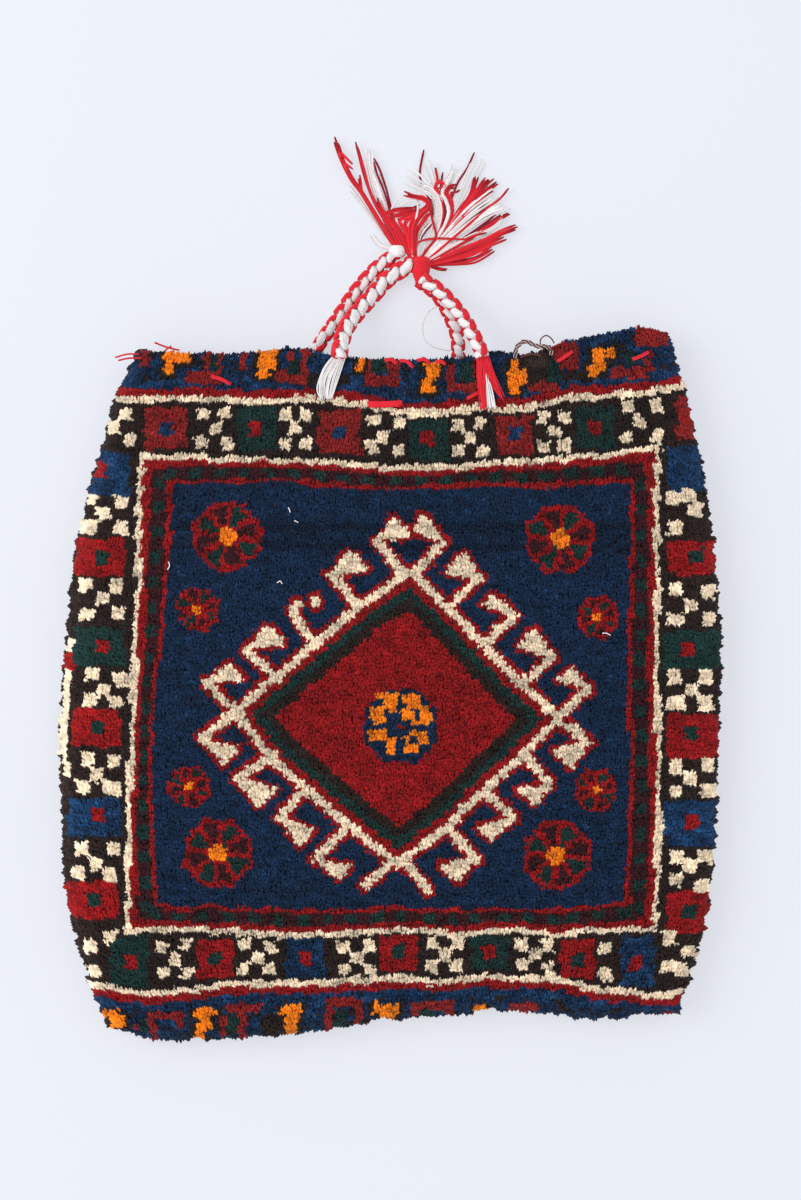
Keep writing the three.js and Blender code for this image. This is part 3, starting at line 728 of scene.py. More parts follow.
def paint_frame(design):
    """Inner frame: ivory line, red line, green dashes on maroon, red line and the navy field."""
    ivory_line, red_line, inner_red_line, dash_margin = 2.9, 0.33, 0.82, 0.05
    period, green_share = 25, 0.48
    within = inside(design.x, design.y, FRAME_OUTLINE)
    outer, along = near_line(design.x, design.y, FRAME_OUTLINE, closed=True)
    inner, _ = near_line(design.x, design.y, FIELD_OUTLINE, closed=True)
    share = outer / (outer + inner)
    dash = within & (along % period < green_share * period)
    design.paint(within, RED)
    design.paint(within & (share > red_line) & (share < inner_red_line), MAROON)
    design.paint(dash & (share > red_line + dash_margin) & (share < inner_red_line - dash_margin), GREEN)
    design.paint(inside(design.x, design.y, FIELD_OUTLINE), NAVY)
    design.paint(outer < ivory_line, IVORY)


def paint_medallion(design):
    """Hooked diamond with its inner lines and the central rosette."""
    line, outline, head_margin = 8.2, 4.2, 1.6
    within = inside(design.x, design.y, DIAMOND)
    distance, _ = near_line(design.x, design.y, DIAMOND, closed=True)
    design.paint(distance < line / 2 + outline, RED)
    paint_hooks(design, line + 2 * outline, head_margin + outline, RED)
    design.paint(within, RED)
    for reach, colour in ((29.5, BROWN), (20, GREEN), (11.5, RED)):
        design.paint(within & (distance < reach), colour)
    design.paint(distance < line / 2, IVORY)
    paint_hooks(design, line, head_margin, IVORY)
    paint_central_rosette(design)


def paint_hooks(design, width, margin, colour):
    """Stems and pointed heads of the hooks, and the plain strokes between them."""
    for root, corner, tip, beak in HOOKS:
        design.stroke([root, corner], width, colour)
        design.patch([corner, tip, beak], margin, colour)
    for points in STROKES:
        design.stroke(points, width, colour)


def octagon(design, x, y):
    """Distance from a centre that grows evenly over an octagon."""
    across, down = np.abs(design.x - x), np.abs(design.y - y)
    return np.maximum(np.maximum(across, down), (across + down) / math.sqrt(2))


def paint_central_rosette(design):
    """Navy octagon with orange petals and a red heart."""
    reach, heart = 37, 3
    x, y = CENTRE
    design.paint(octagon(design, x, y) < reach, NAVY)
    for petal in ROSETTE_PETALS:
        design.box(*petal, ORANGE)
    design.paint(np.hypot(design.x - x, design.y - y) < heart, RED)


def paint_rosette(design, x, y, reach, rim, line, heart):
    """Maroon and green petals in turn between red lines, with an orange heart."""
    eighth, turned = math.pi / 4, 0.35
    away = octagon(design, x, y)
    angle = np.arctan2(design.y - y, design.x - x) / eighth + turned
    petal = np.round(angle)
    from_side = (0.5 - np.abs(angle - petal)) * eighth * away
    petals = (away < reach - rim) & (from_side > line)
    design.paint(away < reach, RED)
    design.paint(petals, GREEN)
    design.paint(petals & (petal % 2 == 0), MAROON)
    design.paint(away < heart, ORANGE)


def knot_colours(tips):
    """Colour of each knot at its place in the photo frame."""
    design = Design(*seen_at(tips))
    paint_border(design)
    paint_bands(design)
    paint_frame(design)
    paint_medallion(design)
    for x, y in LARGE_ROSETTES:
        paint_rosette(design, x, y, reach=34, rim=5, line=2.9, heart=9)
    for x, y in SMALL_ROSETTES:
        paint_rosette(design, x, y, reach=21, rim=3.6, line=2.3, heart=4.5)
    for place in WORN_PLACES:
        design.box(*place, WORN)
    return design.colour


# Pile

def edge_run(spacing):
    """Knot lines over a rounded edge to the tucked hem, as insets, outward shares and rises."""
    middle = EDGE_RADIUS - PILE / 2
    arc = math.pi * middle
    count = int((arc + TUCK - EDGE_RADIUS) / spacing)
    travel = (np.arange(count) + 0.5) * spacing
    angle = np.minimum(travel / middle, math.pi)
    inset = np.where(travel < arc, EDGE_RADIUS * (1 - np.sin(angle)), EDGE_RADIUS + travel - arc)
    return inset, np.sin(angle), np.cos(angle)


def knot_lines(span, pitch, folded_edges):
    """Insets, outward shares and rises of the lines of knots over a span with one or two folded edges."""
    inset, out, rise = edge_run(pitch)
    flat = span - folded_edges * EDGE_RADIUS
    count = int(round(flat / pitch))
    middle = EDGE_RADIUS + (np.arange(count) + 0.5) * flat / count
    runs = [(inset[::-1], -out[::-1], rise[::-1]), (middle, np.zeros(count), np.ones(count))]
    if folded_edges == 2:
        runs.append((span - inset, out, rise))
    return [np.concatenate(values) for values in zip(*runs)]


def knot_grid():
    """Tips, outward directions and rises of all knots, and which of them the fabric really has."""
    column_inset, column_out, column_rise = knot_lines(BAG_WIDTH, KNOT_WIDTH, 2)
    row_inset, row_out, row_rise = knot_lines(BAG_LENGTH, KNOT_HEIGHT, 1)
    u = (column_inset / BAG_WIDTH)[None, :]
    v = (row_inset / BAG_LENGTH)[:, None]
    rise = np.minimum(column_rise[None, :], row_rise[:, None])
    tips = bag_surface(u, v, rise)
    step = 0.01
    slope_x = (front_height(u + step, v) - front_height(u - step, v)) / (2 * step * BAG_WIDTH)
    slope_y = (front_height(u, v + step) - front_height(u, v - step)) / (2 * step * BAG_LENGTH)
    level = np.maximum(rise, 0)
    out_x = column_out[None, :] - slope_x * level
    out_y = row_out[:, None] - slope_y * level
    outward = unit(np.stack(np.broadcast_arrays(out_x, out_y, rise), axis=-1))
    side_inset = np.minimum(column_inset, BAG_WIDTH - column_inset)[None, :]
    end_inset = row_inset[:, None]
    under_side = (column_rise < 0)[None, :]
    under_base = (row_rise < 0)[:, None]
    beyond_mitre = (under_side & (end_inset < side_inset)) | (under_base & (side_inset < end_inset))
    folded_away = (under_side & under_base) | beyond_mitre
    return tips, outward, rise, ~folded_away


def hidden_colours(colour, rise):
    """The design past the folds: the main border ends in an ivory and a red line, then a blue band."""
    for start, yarn in HIDDEN_BANDS:
        colour[rise < start] = yarn
    return colour


def clumps(shape):
    """Random numbers about 0 that neighbouring knots partly share."""
    own_part, shared_part = 0.5, 1.6
    own = random.normal(0, 1, shape)
    shared = own
    for axis in (0, 1):
        shared = (np.roll(shared, 1, axis) + 2 * shared + np.roll(shared, -1, axis)) / 4
    return own_part * own + shared_part * shared


def pile_shades(tips, colour):
    """Lightness of each knot: dye lots differ row by row, knots one by one, and the sides get painted light.
    """
    lot_depth, lot_rows, spare_rows = 0.07, 5, 20
    knot_depth, fleck_share, fleck = 0.16, 0.035, 1.7
    blue_darkness, blue_depth = 0.12, 0.3
    painted_side_light, side_start, side_full = 0.24, 0.75, 0.95
    darkest, lightest = 0.5, 2.2
    rows = tips.shape[0]
    lots = random.normal(0, 1, rows + spare_rows)
    lots = np.convolve(lots, np.ones(lot_rows) / lot_rows, mode="same")[:rows]
    shade = 1 + lot_depth * lots[:, None] + knot_depth * clumps(tips.shape[:2])
    _, y = seen_at(tips)
    navy, blue = colour == NAVY, colour == BLUE
    for middle, half_height, factor in NAVY_STRIPES:
        shade[navy & (np.abs(y - middle) < half_height)] *= factor
    shade[navy & (random.random(shade.shape) < fleck_share)] *= fleck
    shade[blue] -= blue_darkness - blue_depth * clumps(shade.shape)[blue]
    # Painted light: knots towards the folded sides are made lighter, as they catch more of the light there.
    side = np.abs(tips[..., 0]) / (BAG_WIDTH / 2)
    return np.clip(shade, darkest, lightest) * (1 + painted_side_light * smoothstep(side, side_start, side_full))


def knot_spans(tips):
    """Vectors to the next knot across and along the cloth, no longer than where the pile is still dense."""
    longest_across, longest_along = 4.2, 3.2
    spans = []
    for axis, longest in ((1, longest_across), (0, longest_along)):
        span = np.gradient(tips, axis=axis)
        length = np.linalg.norm(span, axis=-1, keepdims=True)
        spans.append(span * np.minimum(1, longest / np.maximum(length, 1e-6)))
    return spans


def tuft_mesh(tips, bases, across, along, shade, cells):
    """Yarn ends with three sides and a rounded tip. The cells are their places in the texture."""
    sides, base_width, shoulder_height = 3, 1.4, 0.83
    # Painted shade darkens each root, where shade falls between the tufts, and painted light brightens the
    # tip a little.
    painted_root_shade, painted_tip_light = 0.85, 1.04
    base_cell, shoulder_cell, cell_width = 0.46, 0.3, 0.5
    count = len(tips)
    turn = 2 * math.pi * (np.arange(sides)[None, :] + random.random((count, 1))) / sides
    around = np.cos(turn)[..., None] * across[:, None] + np.sin(turn)[..., None] * along[:, None]
    bases, tips, cells = bases[:, None], tips[:, None], cells[:, None]
    shoulders = bases + shoulder_height * (tips - bases)
    vertices = np.concatenate([bases + base_width * around, shoulders + around, tips], axis=1)
    i = np.arange(sides)
    j = (i + 1) % sides
    walls = np.concatenate([np.stack([i, j, j + sides], 1), np.stack([i, j + sides, i + sides], 1)])
    cap = np.stack([i + sides, j + sides, np.full(sides, 2 * sides)], 1)
    tuft = np.concatenate([walls, cap])
    triangles = tuft[None] + (np.arange(count) * (2 * sides + 1))[:, None, None]
    shades = shade[:, None] * np.concatenate([np.full(sides, painted_root_shade), np.ones(sides), [painted_tip_light]])
    flat_turn = np.stack([cell_width * np.cos(turn), np.sin(turn)], axis=-1)
    uv = np.concatenate([cells + base_cell * flat_turn, cells + shoulder_cell * flat_turn, cells], axis=1)
    return vertices.reshape(-1, 3), triangles.reshape(-1, 3), shades.ravel(), uv.reshape(-1, 2)


def pile_lean(rise, length):
    """How far each tip leans, and the even lean that its base already makes up for."""
    bearing_spread, reach_spread = 0.14, 0.15
    least, most = 0.1, 2
    even_reach = LEAN * length * np.maximum(rise, 0)
    bearing = bearing_spread * clumps(rise.shape)
    reach = even_reach * np.clip(1 + reach_spread * clumps(rise.shape), least, most)
    level = np.zeros_like(reach)
    lean = np.stack([reach * np.sin(bearing), reach * np.cos(bearing), level], axis=-1)
    return lean, np.stack([level, even_reach, level], axis=-1)


def add_pile():
    """Knotted pile: one mesh of yarn ends for each colour, two ends to a knot, or one under the bag."""
    press, pressed_rise, apart = 1.4, -0.3, 0.25
    tips, outward, rise, real = knot_grid()
    colour = hidden_colours(knot_colours(tips), rise)
    shade = pile_shades(tips, colour)
    across, along = knot_spans(tips)
    length = PILE + (PRESSED_PILE - PILE) * np.clip(-press * rise, 0, 1)
    lean, even_lean = pile_lean(rise, length)
    bases = tips - outward * length[..., None] - even_lean
    tips = tips + lean - even_lean + pile_growth(rise, colour)[..., None] * outward
    rows, columns = rise.shape
    cells = np.stack(np.meshgrid(np.arange(columns), np.arange(rows)), axis=-1) + 0.5
    knots = (tips, bases, across, along, shade, cells, rise)
    pieces = []
    for index, (name, dye) in enumerate(PILE_COLOURS.items()):
        chosen = real & (colour == index)
        meshes = [
            yarn_ends(knots, chosen & (rise > pressed_rise), -apart),
            yarn_ends(knots, chosen, apart),
        ]
        pieces.append(add_pile_colour(name, dye, meshes, (columns, rows)))
    return pieces


def pile_growth(rise, colour):
    """How much longer the tips are: uneven at the folds, which makes a fringe, and short at worn places."""
    fringe_depth, fringe_mean, fringe_width, wear = 1.2, 0.4, 0.5, 2.2
    shortest, longest = -0.8, 3
    fringe = np.clip(fringe_depth * clumps(rise.shape) + fringe_mean, shortest, longest)
    return fringe * np.exp(-((rise / fringe_width) ** 2)) - np.where(colour == WORN, wear, 0)


def yarn_ends(knots, chosen, aside):
    """One yarn end of each chosen knot, aside from the knot's middle by a share of its width."""
    spread, furthest = (0.35, 0.35, 0.3), 0.8
    flattest, floor_gap = 0.05, 0.1
    half_width, half_depth, shade_spread = 0.46, 0.88, 0.11
    tips, bases, across, along, shade, cells, rise = (values[chosen] for values in knots)
    offset = aside * across
    jitter = random.normal(0, 1, tips.shape) * spread
    jitter[:, 2] *= np.clip(rise + 1, flattest, 1)
    ends = tips + offset + np.clip(jitter, -furthest, furthest)
    ends[:, 2] = np.maximum(ends[:, 2], floor_gap)
    shade = shade * random.normal(1, shade_spread, len(tips))
    across, along = half_width * across, half_depth * along
    return tuft_mesh(ends, bases + offset, across, along, shade, cells + (aside, 0))


def add_pile_colour(name, dye, meshes, texture_size):
    """One mesh of all yarn ends of a colour."""
    start = 0
    triangles = []
    for vertices, faces, _, _ in meshes:
        triangles.append(faces + start)
        start += len(vertices)
    vertices = np.vstack([mesh[0] for mesh in meshes])
    shades = np.concatenate([mesh[2] for mesh in meshes])
    uv = np.vstack([mesh[3] for mesh in meshes]) / texture_size
    material = yarn_material(f"wool_{name}", dye, roughness=0.9, sheen=0.1, amount=0.1)
    piece = add_mesh(f"pile_{name}", vertices, np.vstack(triangles), [material], shades, uv=uv)
    return piece


# Cloth under the pile and at the back

def fold_profile(steps):
    """Insets, depths and rises of the foundation from its outermost fold down to the hem."""
    hem_steps = 4
    angle = np.linspace(math.pi / 2, math.pi, steps)
    rise = np.cos(angle)
    depth = PILE + (PRESSED_PILE - PILE) * -rise
    inset = EDGE_RADIUS - (EDGE_RADIUS - PILE) * np.sin(angle)
    hem = np.linspace(EDGE_RADIUS, TUCK, hem_steps)[1:]
    return (
        np.concatenate([inset, hem]),
        np.concatenate([depth, np.full(len(hem), PRESSED_PILE)]),
        np.concatenate([rise, -np.ones(len(hem))]),
    )


def top_profile(span, both_sides, steps, count):
    """Insets and rises of the foundation's top from the fold inwards."""
    angle = np.linspace(math.pi / 2, 0, steps)
    inset = EDGE_RADIUS - (EDGE_RADIUS - PILE) * np.sin(angle)
    rise = np.cos(angle)
    if both_sides:
        flat = np.linspace(EDGE_RADIUS, span - EDGE_RADIUS, count)[1:-1]
        return (
            np.concatenate([inset, flat, span - inset[::-1]]),
            np.concatenate([rise, np.ones(len(flat)), rise[::-1]]),
        )
    flat = np.linspace(EDGE_RADIUS, span - MOUTH_TURN, count)[1:]
    return np.concatenate([inset, flat]), np.concatenate([rise, np.ones(len(flat))])


def foundation_grids():
    """Grids of places that make up the cloth under the pile: its top and the three strips tucked under."""
    fold_steps, flat_columns, flat_rows = 6, 64, 70
    columns, column_rise = top_profile(BAG_WIDTH, True, fold_steps, flat_columns)
    rows, row_rise = top_profile(BAG_LENGTH, False, fold_steps, flat_rows)
    rise = np.minimum(column_rise[None, :], row_rise[:, None])
    yield bag_surface((columns / BAG_WIDTH)[None, :], (rows / BAG_LENGTH)[:, None], rise, PILE)
    inset, depth, fold_rise = (values[:, None] for values in fold_profile(fold_steps))
    row_share = ((rows - rows[0]) / (rows[-1] - rows[0]))[None, :]
    strip_rows = inset + (rows[-1] - inset) * row_share
    for u in (inset / BAG_WIDTH, 1 - inset / BAG_WIDTH):
        yield bag_surface(u, strip_rows / BAG_LENGTH, fold_rise, depth)
    column_share = ((columns - columns[0]) / (BAG_WIDTH - 2 * columns[0]))[None, :]
    strip_columns = inset + (BAG_WIDTH - 2 * inset) * column_share
    yield bag_surface(strip_columns / BAG_WIDTH, inset / BAG_LENGTH, fold_rise, depth)


def add_foundation():
    """Plain cloth that the pile is knotted into: one sheet, folded under at the sides and the base."""
    vertices, faces, start = [], [], 0
    for grid in foundation_grids():
        rows, columns, _ = grid.shape
        vertices.append(grid.reshape(-1, 3))
        faces.append(grid_faces(rows, columns) + start)
        start += rows * columns
    material = weave_material("foundation_weave", FOUNDATION_BROWN)
    piece = add_mesh("front_cloth", np.vstack(vertices), np.vstack(faces), [material])
    weld(piece)
    thicken(piece, FOUNDATION)
    stand_for(piece, "front_panel")
    return piece


def weld(piece):
    """Joins the edges of grids that meet, with all faces turned outwards."""
    mesh = bmesh.new()
    mesh.from_mesh(piece.data)
    bmesh.ops.remove_doubles(mesh, verts=mesh.verts, dist=0.02 * MM)
    bmesh.ops.recalc_face_normals(mesh, faces=mesh.faces)
    highest = max(mesh.faces, key=lambda face: face.calc_center_median().z)
    if highest.normal.z < 0:
        bmesh.ops.reverse_faces(mesh, faces=mesh.faces)
    mesh.to_mesh(piece.data)
    mesh.free()


def thicken(piece, thickness):
    """Gives a sheet its thickness on the inner side."""
    solid = piece.modifiers.new("thickness", "SOLIDIFY")
    solid.thickness = thickness * MM
    solid.offset = -1


def add_back():
    """Flat-woven back with raised rows of weft, hidden under the bag."""
    weft_pitch, weft_relief, floor_gap = 3.2, 0.5, 0.1
    samples, columns = 3, 26
    length = BAG_LENGTH - BACK_INSET - BACK_SETBACK
    rows = int(length / weft_pitch * samples)
    across = np.linspace(BACK_INSET, BAG_WIDTH - BACK_INSET, columns)
    along = np.linspace(BACK_INSET, BAG_LENGTH - BACK_SETBACK, rows)
    u, v = np.meshgrid(across / BAG_WIDTH, along / BAG_LENGTH)
    x, y = plan(u, v)
    rib = np.abs(np.sin(math.pi * (along - BACK_INSET) / weft_pitch))[:, None]
    z = back_height(v) + floor_gap + weft_relief * (1 - rib)
    vertices = np.stack([x, y, z], axis=-1).reshape(-1, 3)
    material = weave_material("back_weave", BACK_RED)
    piece = add_mesh("back_cloth", vertices, grid_faces(rows, columns)[:, ::-1], [material])
    thicken(piece, FLAT_WEAVE - weft_relief - 2 * floor_gap)
    stand_for(piece, "back_panel")
    return piece


# Seams and bindings

def overcast(name, node, line, across, up, pitch, yarn, material):
    """Yarn wound round a line, one turn to a pitch."""
    steps = 8
    path = smooth_path(line, pitch / steps)
    _, normals, binormals = frames_along(path)
    angle = 2 * math.pi * np.arange(len(path)) / steps
    wound = path + across * np.cos(angle)[:, None] * binormals + up * np.sin(angle)[:, None] * normals
    bundle = Bundle()
    bundle.add(wound, yarn, sides=5)
    stand_for(bundle.build(name, [material]), node)


def line_on_plan(u, v, height, ahead=0.0):
    """Line through places of the bag at a height, moved ahead towards the mouth."""
    x, y = plan(*np.broadcast_arrays(u, v))
    return np.column_stack([x, y + ahead, np.broadcast_to(height, x.shape)])


def add_seams():
    """Overcast seams between the tucked front and the back, and bindings along both edges of the mouth."""
    wool = yarn_material("seam_wool", DARK_RED)
    seam = {"across": 1.45, "up": 0.75, "pitch": 3.4, "yarn": 0.5, "material": wool}
    binding = {"across": 1.0, "pitch": 3.2, "yarn": 0.55, "material": wool}
    seam_height, seam_start, seam_end, seam_points = 1.35, 2, 1, 30
    binding_start, binding_end, binding_points = 0.04, 0.96, 34
    middle = TUCK + GAP + SEAM_WIDTH / 2
    along = np.linspace(middle + seam_start, BAG_LENGTH - BACK_SETBACK - seam_end, seam_points) / BAG_LENGTH
    for side, u in (("left", middle / BAG_WIDTH), ("right", 1 - middle / BAG_WIDTH)):
        line = line_on_plan(u, along, back_height(along) + seam_height)
        overcast(f"{side}_seam_yarn", f"{side}_side_seam", line, **seam)
    across = np.linspace(middle, BAG_WIDTH - middle, seam_points) / BAG_WIDTH
    line = line_on_plan(across, middle / BAG_LENGTH, seam_height)
    overcast("base_seam_yarn", "base_seam", line, **seam)
    across = np.linspace(binding_start, binding_end, binding_points)
    line = line_on_plan(across, 1.0, front_height(across, 1.0) - PILE - FOUNDATION / 2, ahead=-2.2)
    overcast("front_binding_yarn", "front_mouth_binding", line, up=1.0, **binding)
    across = np.linspace(BACK_INSET, BAG_WIDTH - BACK_INSET, binding_points) / BAG_WIDTH
    line = line_on_plan(across, 1 - BACK_SETBACK / BAG_LENGTH, BACK_LIFT + FLAT_WEAVE / 2, ahead=1.7)
    overcast("back_binding_yarn", "back_mouth_binding", line, up=0.85, **binding)


# Handles, as x and y from the middle of the mouth edge and the share of the height over the floor

FRONT_LEFT_ROUTE = [
    (-29.3, -0.5, 1), (-29, 3.4, 0.99), (-28.4, 7.4, 0.93), (-27.3, 11.5, 0.82), (-26.1, 15.6, 0.69),
    (-24.4, 19, 0.55), (-22, 22.5, 0.42), (-19.7, 25.7, 0.31), (-16.8, 29.2, 0.21), (-13.9, 32.7, 0.13),
    (-11, 35.9, 0.08), (-7.5, 39.9, 0.05), (-4.1, 44, 0.05), (0, 47.5, 0.06), (4.1, 50.4, 0.09),
    (9, 53.2, 0.12),
]
FRONT_RIGHT_ROUTE = [
    (53.4, 0, 1), (52.8, 2, 0.99), (52.2, 4, 0.98), (50.8, 8, 0.93), (48.7, 12.1, 0.86),
    (46.7, 16.1, 0.78), (44.4, 20.2, 0.7), (41.8, 24, 0.63), (39.2, 27.7, 0.57), (36.3, 31.2, 0.53),
    (33.4, 34.4, 0.5), (30.2, 37.6, 0.47), (27.6, 40, 0.44), (25.2, 41.9, 0.42), (22.8, 43.4, 0.4),
]
BACK_LEFT_ROUTE = [
    (-43, 4.4, 0), (-42.4, 6, 0), (-41.4, 8.2, 0), (-39.4, 11.2, 0), (-36.8, 15, 0), (-34.2, 18.7, 0),
    (-31.6, 22.5, 0), (-29, 26.6, 0), (-26.4, 30.6, 0), (-23.8, 34.7, 0), (-20.9, 38.7, 0), (-17.7, 42.8, 0),
    (-14.2, 46.9, 0), (-10.4, 50.9, 0), (-6.4, 54.4, 0), (-0.2, 58.8, 0.02),
]
BACK_RIGHT_ROUTE = [
    (39.7, -3, 0), (39.7, 0.5, 0), (39.7, 4.5, 0), (39.6, 8.6, 0), (39.2, 12.4, 0), (38.3, 16.1, 0),
    (37.1, 19.6, 0), (35.7, 23.1, 0), (34, 26.6, 0), (32.5, 29.8, 0), (30.7, 32.7, 0), (29, 35.3, 0),
    (27, 37.6, 0), (24.7, 39.8, 0), (20.6, 42.7, 0),
]
# Braids as route, radius, length of a lobe, and the ways its white lobes face, in degrees from straight up
HANDLES = {
    "front_left": (FRONT_LEFT_ROUTE, 5.3, 9.3, [26]),
    "front_right": (FRONT_RIGHT_ROUTE, 4.6, 7.8, [-42]),
    "back_left": (BACK_LEFT_ROUTE, 4.3, 8, [-45, 40, 40, -20]),
    "back_right": (BACK_RIGHT_ROUTE, 4.3, 7.4, [0, 20]),
}
# Sewn ends of the front handles as slot, yarns, and the strand's x, y and width from where the braid ends
FRONT_TAILS = {
    "front_left": [
        (WHITE_SLOT, 12, [(0, 1, 8), (-3.5, -5, 10.5), (-6.3, -12, 11.5), (-7.6, -18, 11), (-8, -23.5, 8)]),
    ],
    "front_right": [
        (RED_SLOT, 6, [(0, 1, 7), (-0.8, -9, 5.2), (-0.2, -18, 5), (0.8, -30, 4)]),
        (RED_SLOT, 6, [(1, 0.8, 6), (4.4, -9, 5.2), (8, -17, 4.6), (11.5, -24, 3.2)]),
        (WHITE_SLOT, 4, [(2.6, -9, 1.4), (3.4, -15, 2.6), (4.2, -21, 4), (5.4, -29.5, 5)]),
    ],
}
# The same for both back handles, as width and y
BACK_TAIL = [(8, 0), (12, -13), (9, -26)]
# Turns of yarn that tie the handles' ends, with x and y from the middle of the mouth edge and the height
RED_KNOT = {
    "place": (18, 51.6, 7.3), "radius": 7, "length": 17, "turns": 11, "taper": 0.5, "slot": RED_SLOT,
}
WHITE_WRAP = {
    "place": (4.2, 62.6, 5.3), "radius": 5, "length": 7.4, "turns": 6, "taper": 0, "slot": WHITE_SLOT,
}


def route_points(route):
    """Places of a handle's middle line, from its sewn end to the knot."""
    x, y, share = np.array(route, float).T
    y = y + MOUTH_MIDDLE
    low = GAP + BRAID / 2
    high = float(pile_top(x[0], y[0])) + SURFACE_GAP + BRAID / 2
    return np.column_stack([x, y, low + (high - low) * share])


def path_length(points):
    return float(np.linalg.norm(np.diff(points, axis=0), axis=1).sum())


def add_braid(name, route, radius, lobe, facing, materials):
    """Round braid: two white strands turn one way and two red ones the other, over and under."""
    spacing, core_share, core_painted_shade = 0.9, 0.5, 0.8
    points = route_points(route)
    into_knot = points[-1] + KNOT_REACH * unit(points[-1] - points[-2])
    path = smooth_path(np.vstack([points, into_knot]), spacing)
    sides = frames_along(path)[1:]
    share = np.linspace(0, 1, len(path))
    travel = share * path_length(path)
    white_side = np.radians(np.interp(share, np.linspace(0, 1, len(facing)), facing))
    bundle = Bundle()
    # The core shows only in the gaps between the strands, and is darkened as painted shade inside the braid.
    bundle.add(path, core_share * radius, sides=8, shade=core_painted_shade, slot=WHITE_SLOT)
    for slot, way, quarter in ((WHITE_SLOT, -1, 0), (RED_SLOT, 1, 1)):
        for half in (0, 1):
            turn = math.pi * (half + quarter / 2 + way * travel / lobe)
            add_strand(bundle, path, sides, turn, white_side - quarter * math.pi / 2, radius, slot)
    return bundle.build(name, materials), points


def add_strand(bundle, path, sides, turn, outer, radius, slot):
    """Yarns of one strand side by side. It runs straighter where it is on the outer side of the braid."""
    yarns, apart, narrowing, rounding = 5, 0.28, 0.45, 0.022
    slant, bend, dive = 0.12, 4, 0.74
    yarn_share, low_share = 0.185, 0.5
    darkest, lightest = 0.86, 1.06
    yarn = yarn_share * radius
    high, low = radius - yarn, low_share * radius
    half_turns = np.round(turn / math.pi)
    rest = 2 * turn / math.pi - 2 * half_turns
    depth = np.abs(rest)  # 0 in the middle of a lobe and 1 where the strand lies deepest
    swing = np.sign(rest) * (slant * depth + (1 - slant) * depth**bend)
    angle = half_turns * math.pi + swing * math.pi / 2
    over = 1 - 2 * smoothstep(depth, dive, 1)
    spindle = 1 - narrowing * depth**2
    for k in range(yarns):
        place = k - (yarns - 1) / 2
        reach = (high + low) / 2 + (high - low) / 2 * over - rounding * radius * place**2
        bearing = outer + angle + apart * place * spindle
        side = np.cos(bearing)[:, None] * sides[0] + np.sin(bearing)[:, None] * sides[1]
        shade = random.uniform(darkest, lightest)
        bundle.add(path + reach[:, None] * side, yarn, sides=5, shade=shade, slot=slot)


def beside(yarns):
    """Places of yarns side by side, in shares of their whole width from its middle."""
    return (np.arange(yarns) + 0.5) / yarns - 0.5


def add_front_tail(name, start, strands, materials):
    """Yarns of a front handle's end, spread flat on the pile. The outer strands come down from the braid."""
    sink, into_braid, spacing = 0.3, 1.0, 1.6
    half_pitch, aside_spread, end_spread = 0.54, 0.15, 0.8
    darkest, lightest = 0.8, 1.06
    bundle = Bundle()
    for slot, yarns, points in strands:
        x, y, width = np.array(points, float).T
        thickness = half_pitch * width / yarns
        for place in beside(yarns):
            place_x = start[0] + x + place * width + random.normal(0, aside_spread, len(x))
            place_y = start[1] + y
            height = pile_top(place_x, place_y) + SURFACE_GAP - sink + thickness
            if y[0] > 0:
                height[0] = start[2] - into_braid
            path = np.column_stack([place_x, place_y, height])
            path[-1, 1] += random.normal(0, end_spread)
            smooth = smooth_path(path, spacing)
            radius = np.interp(np.linspace(0, 1, len(smooth)), np.linspace(0, 1, len(x)), thickness)
            bundle.add(smooth, radius, sides=6, shade=random.uniform(darkest, lightest), slot=slot)
    return bundle.build(name, materials)


def add_back_tail(name, start, materials):
    """Yarns of a back handle's end, spread flat under the back."""
    yarns, thickness, floor_gap, spacing = 8, 0.85, 0.25, 2.5
    darkest, lightest = 0.9, 1.05
    width, y = np.array(BACK_TAIL, float).T
    height = np.full(len(y), floor_gap + thickness)
    bundle = Bundle()
    for place in beside(yarns):
        path = np.column_stack([start[0] + place * width, start[1] + y, height])
        shade = random.uniform(darkest, lightest)
        bundle.add(smooth_path(path, spacing), thickness, sides=5, shade=shade)
    return bundle.build(name, materials)


def add_winding(name, materials, place, radius, length, turns, taper, slot):
    """Turns of yarn side by side round the ends of the handles, thinner by a taper at the lower end."""
    steps, half_pitch, end_rounding = 14, 0.55, 0.85
    core_reach, core_points = 0.45, 6
    core_share, core_taper = 0.75, 0.5
    yarn = half_pitch * length / turns
    angle = np.linspace(0, 2 * math.pi * turns, turns * steps + 1)
    along = np.linspace(-0.5, 0.5, len(angle))
    barrel = np.sqrt(1 - end_rounding * np.abs(2 * along) ** 4)
    reach = (radius - yarn) * barrel * (1 - taper * (0.5 - along))
    centre = np.add(place, (0, MOUTH_MIDDLE, 0))
    y = along * (length - 2 * yarn)
    path = centre + np.column_stack([reach * np.cos(angle), y, reach * np.sin(angle)])
    core = centre + np.linspace(-core_reach, core_reach, core_points)[:, None] * (0, length, 0)
    bundle = Bundle()
    bundle.add(path, yarn, sides=7, slot=slot)
    bundle.add(core, (core_share - core_taper * taper) * radius, sides=10, slot=slot)
    return bundle.build(name, materials)


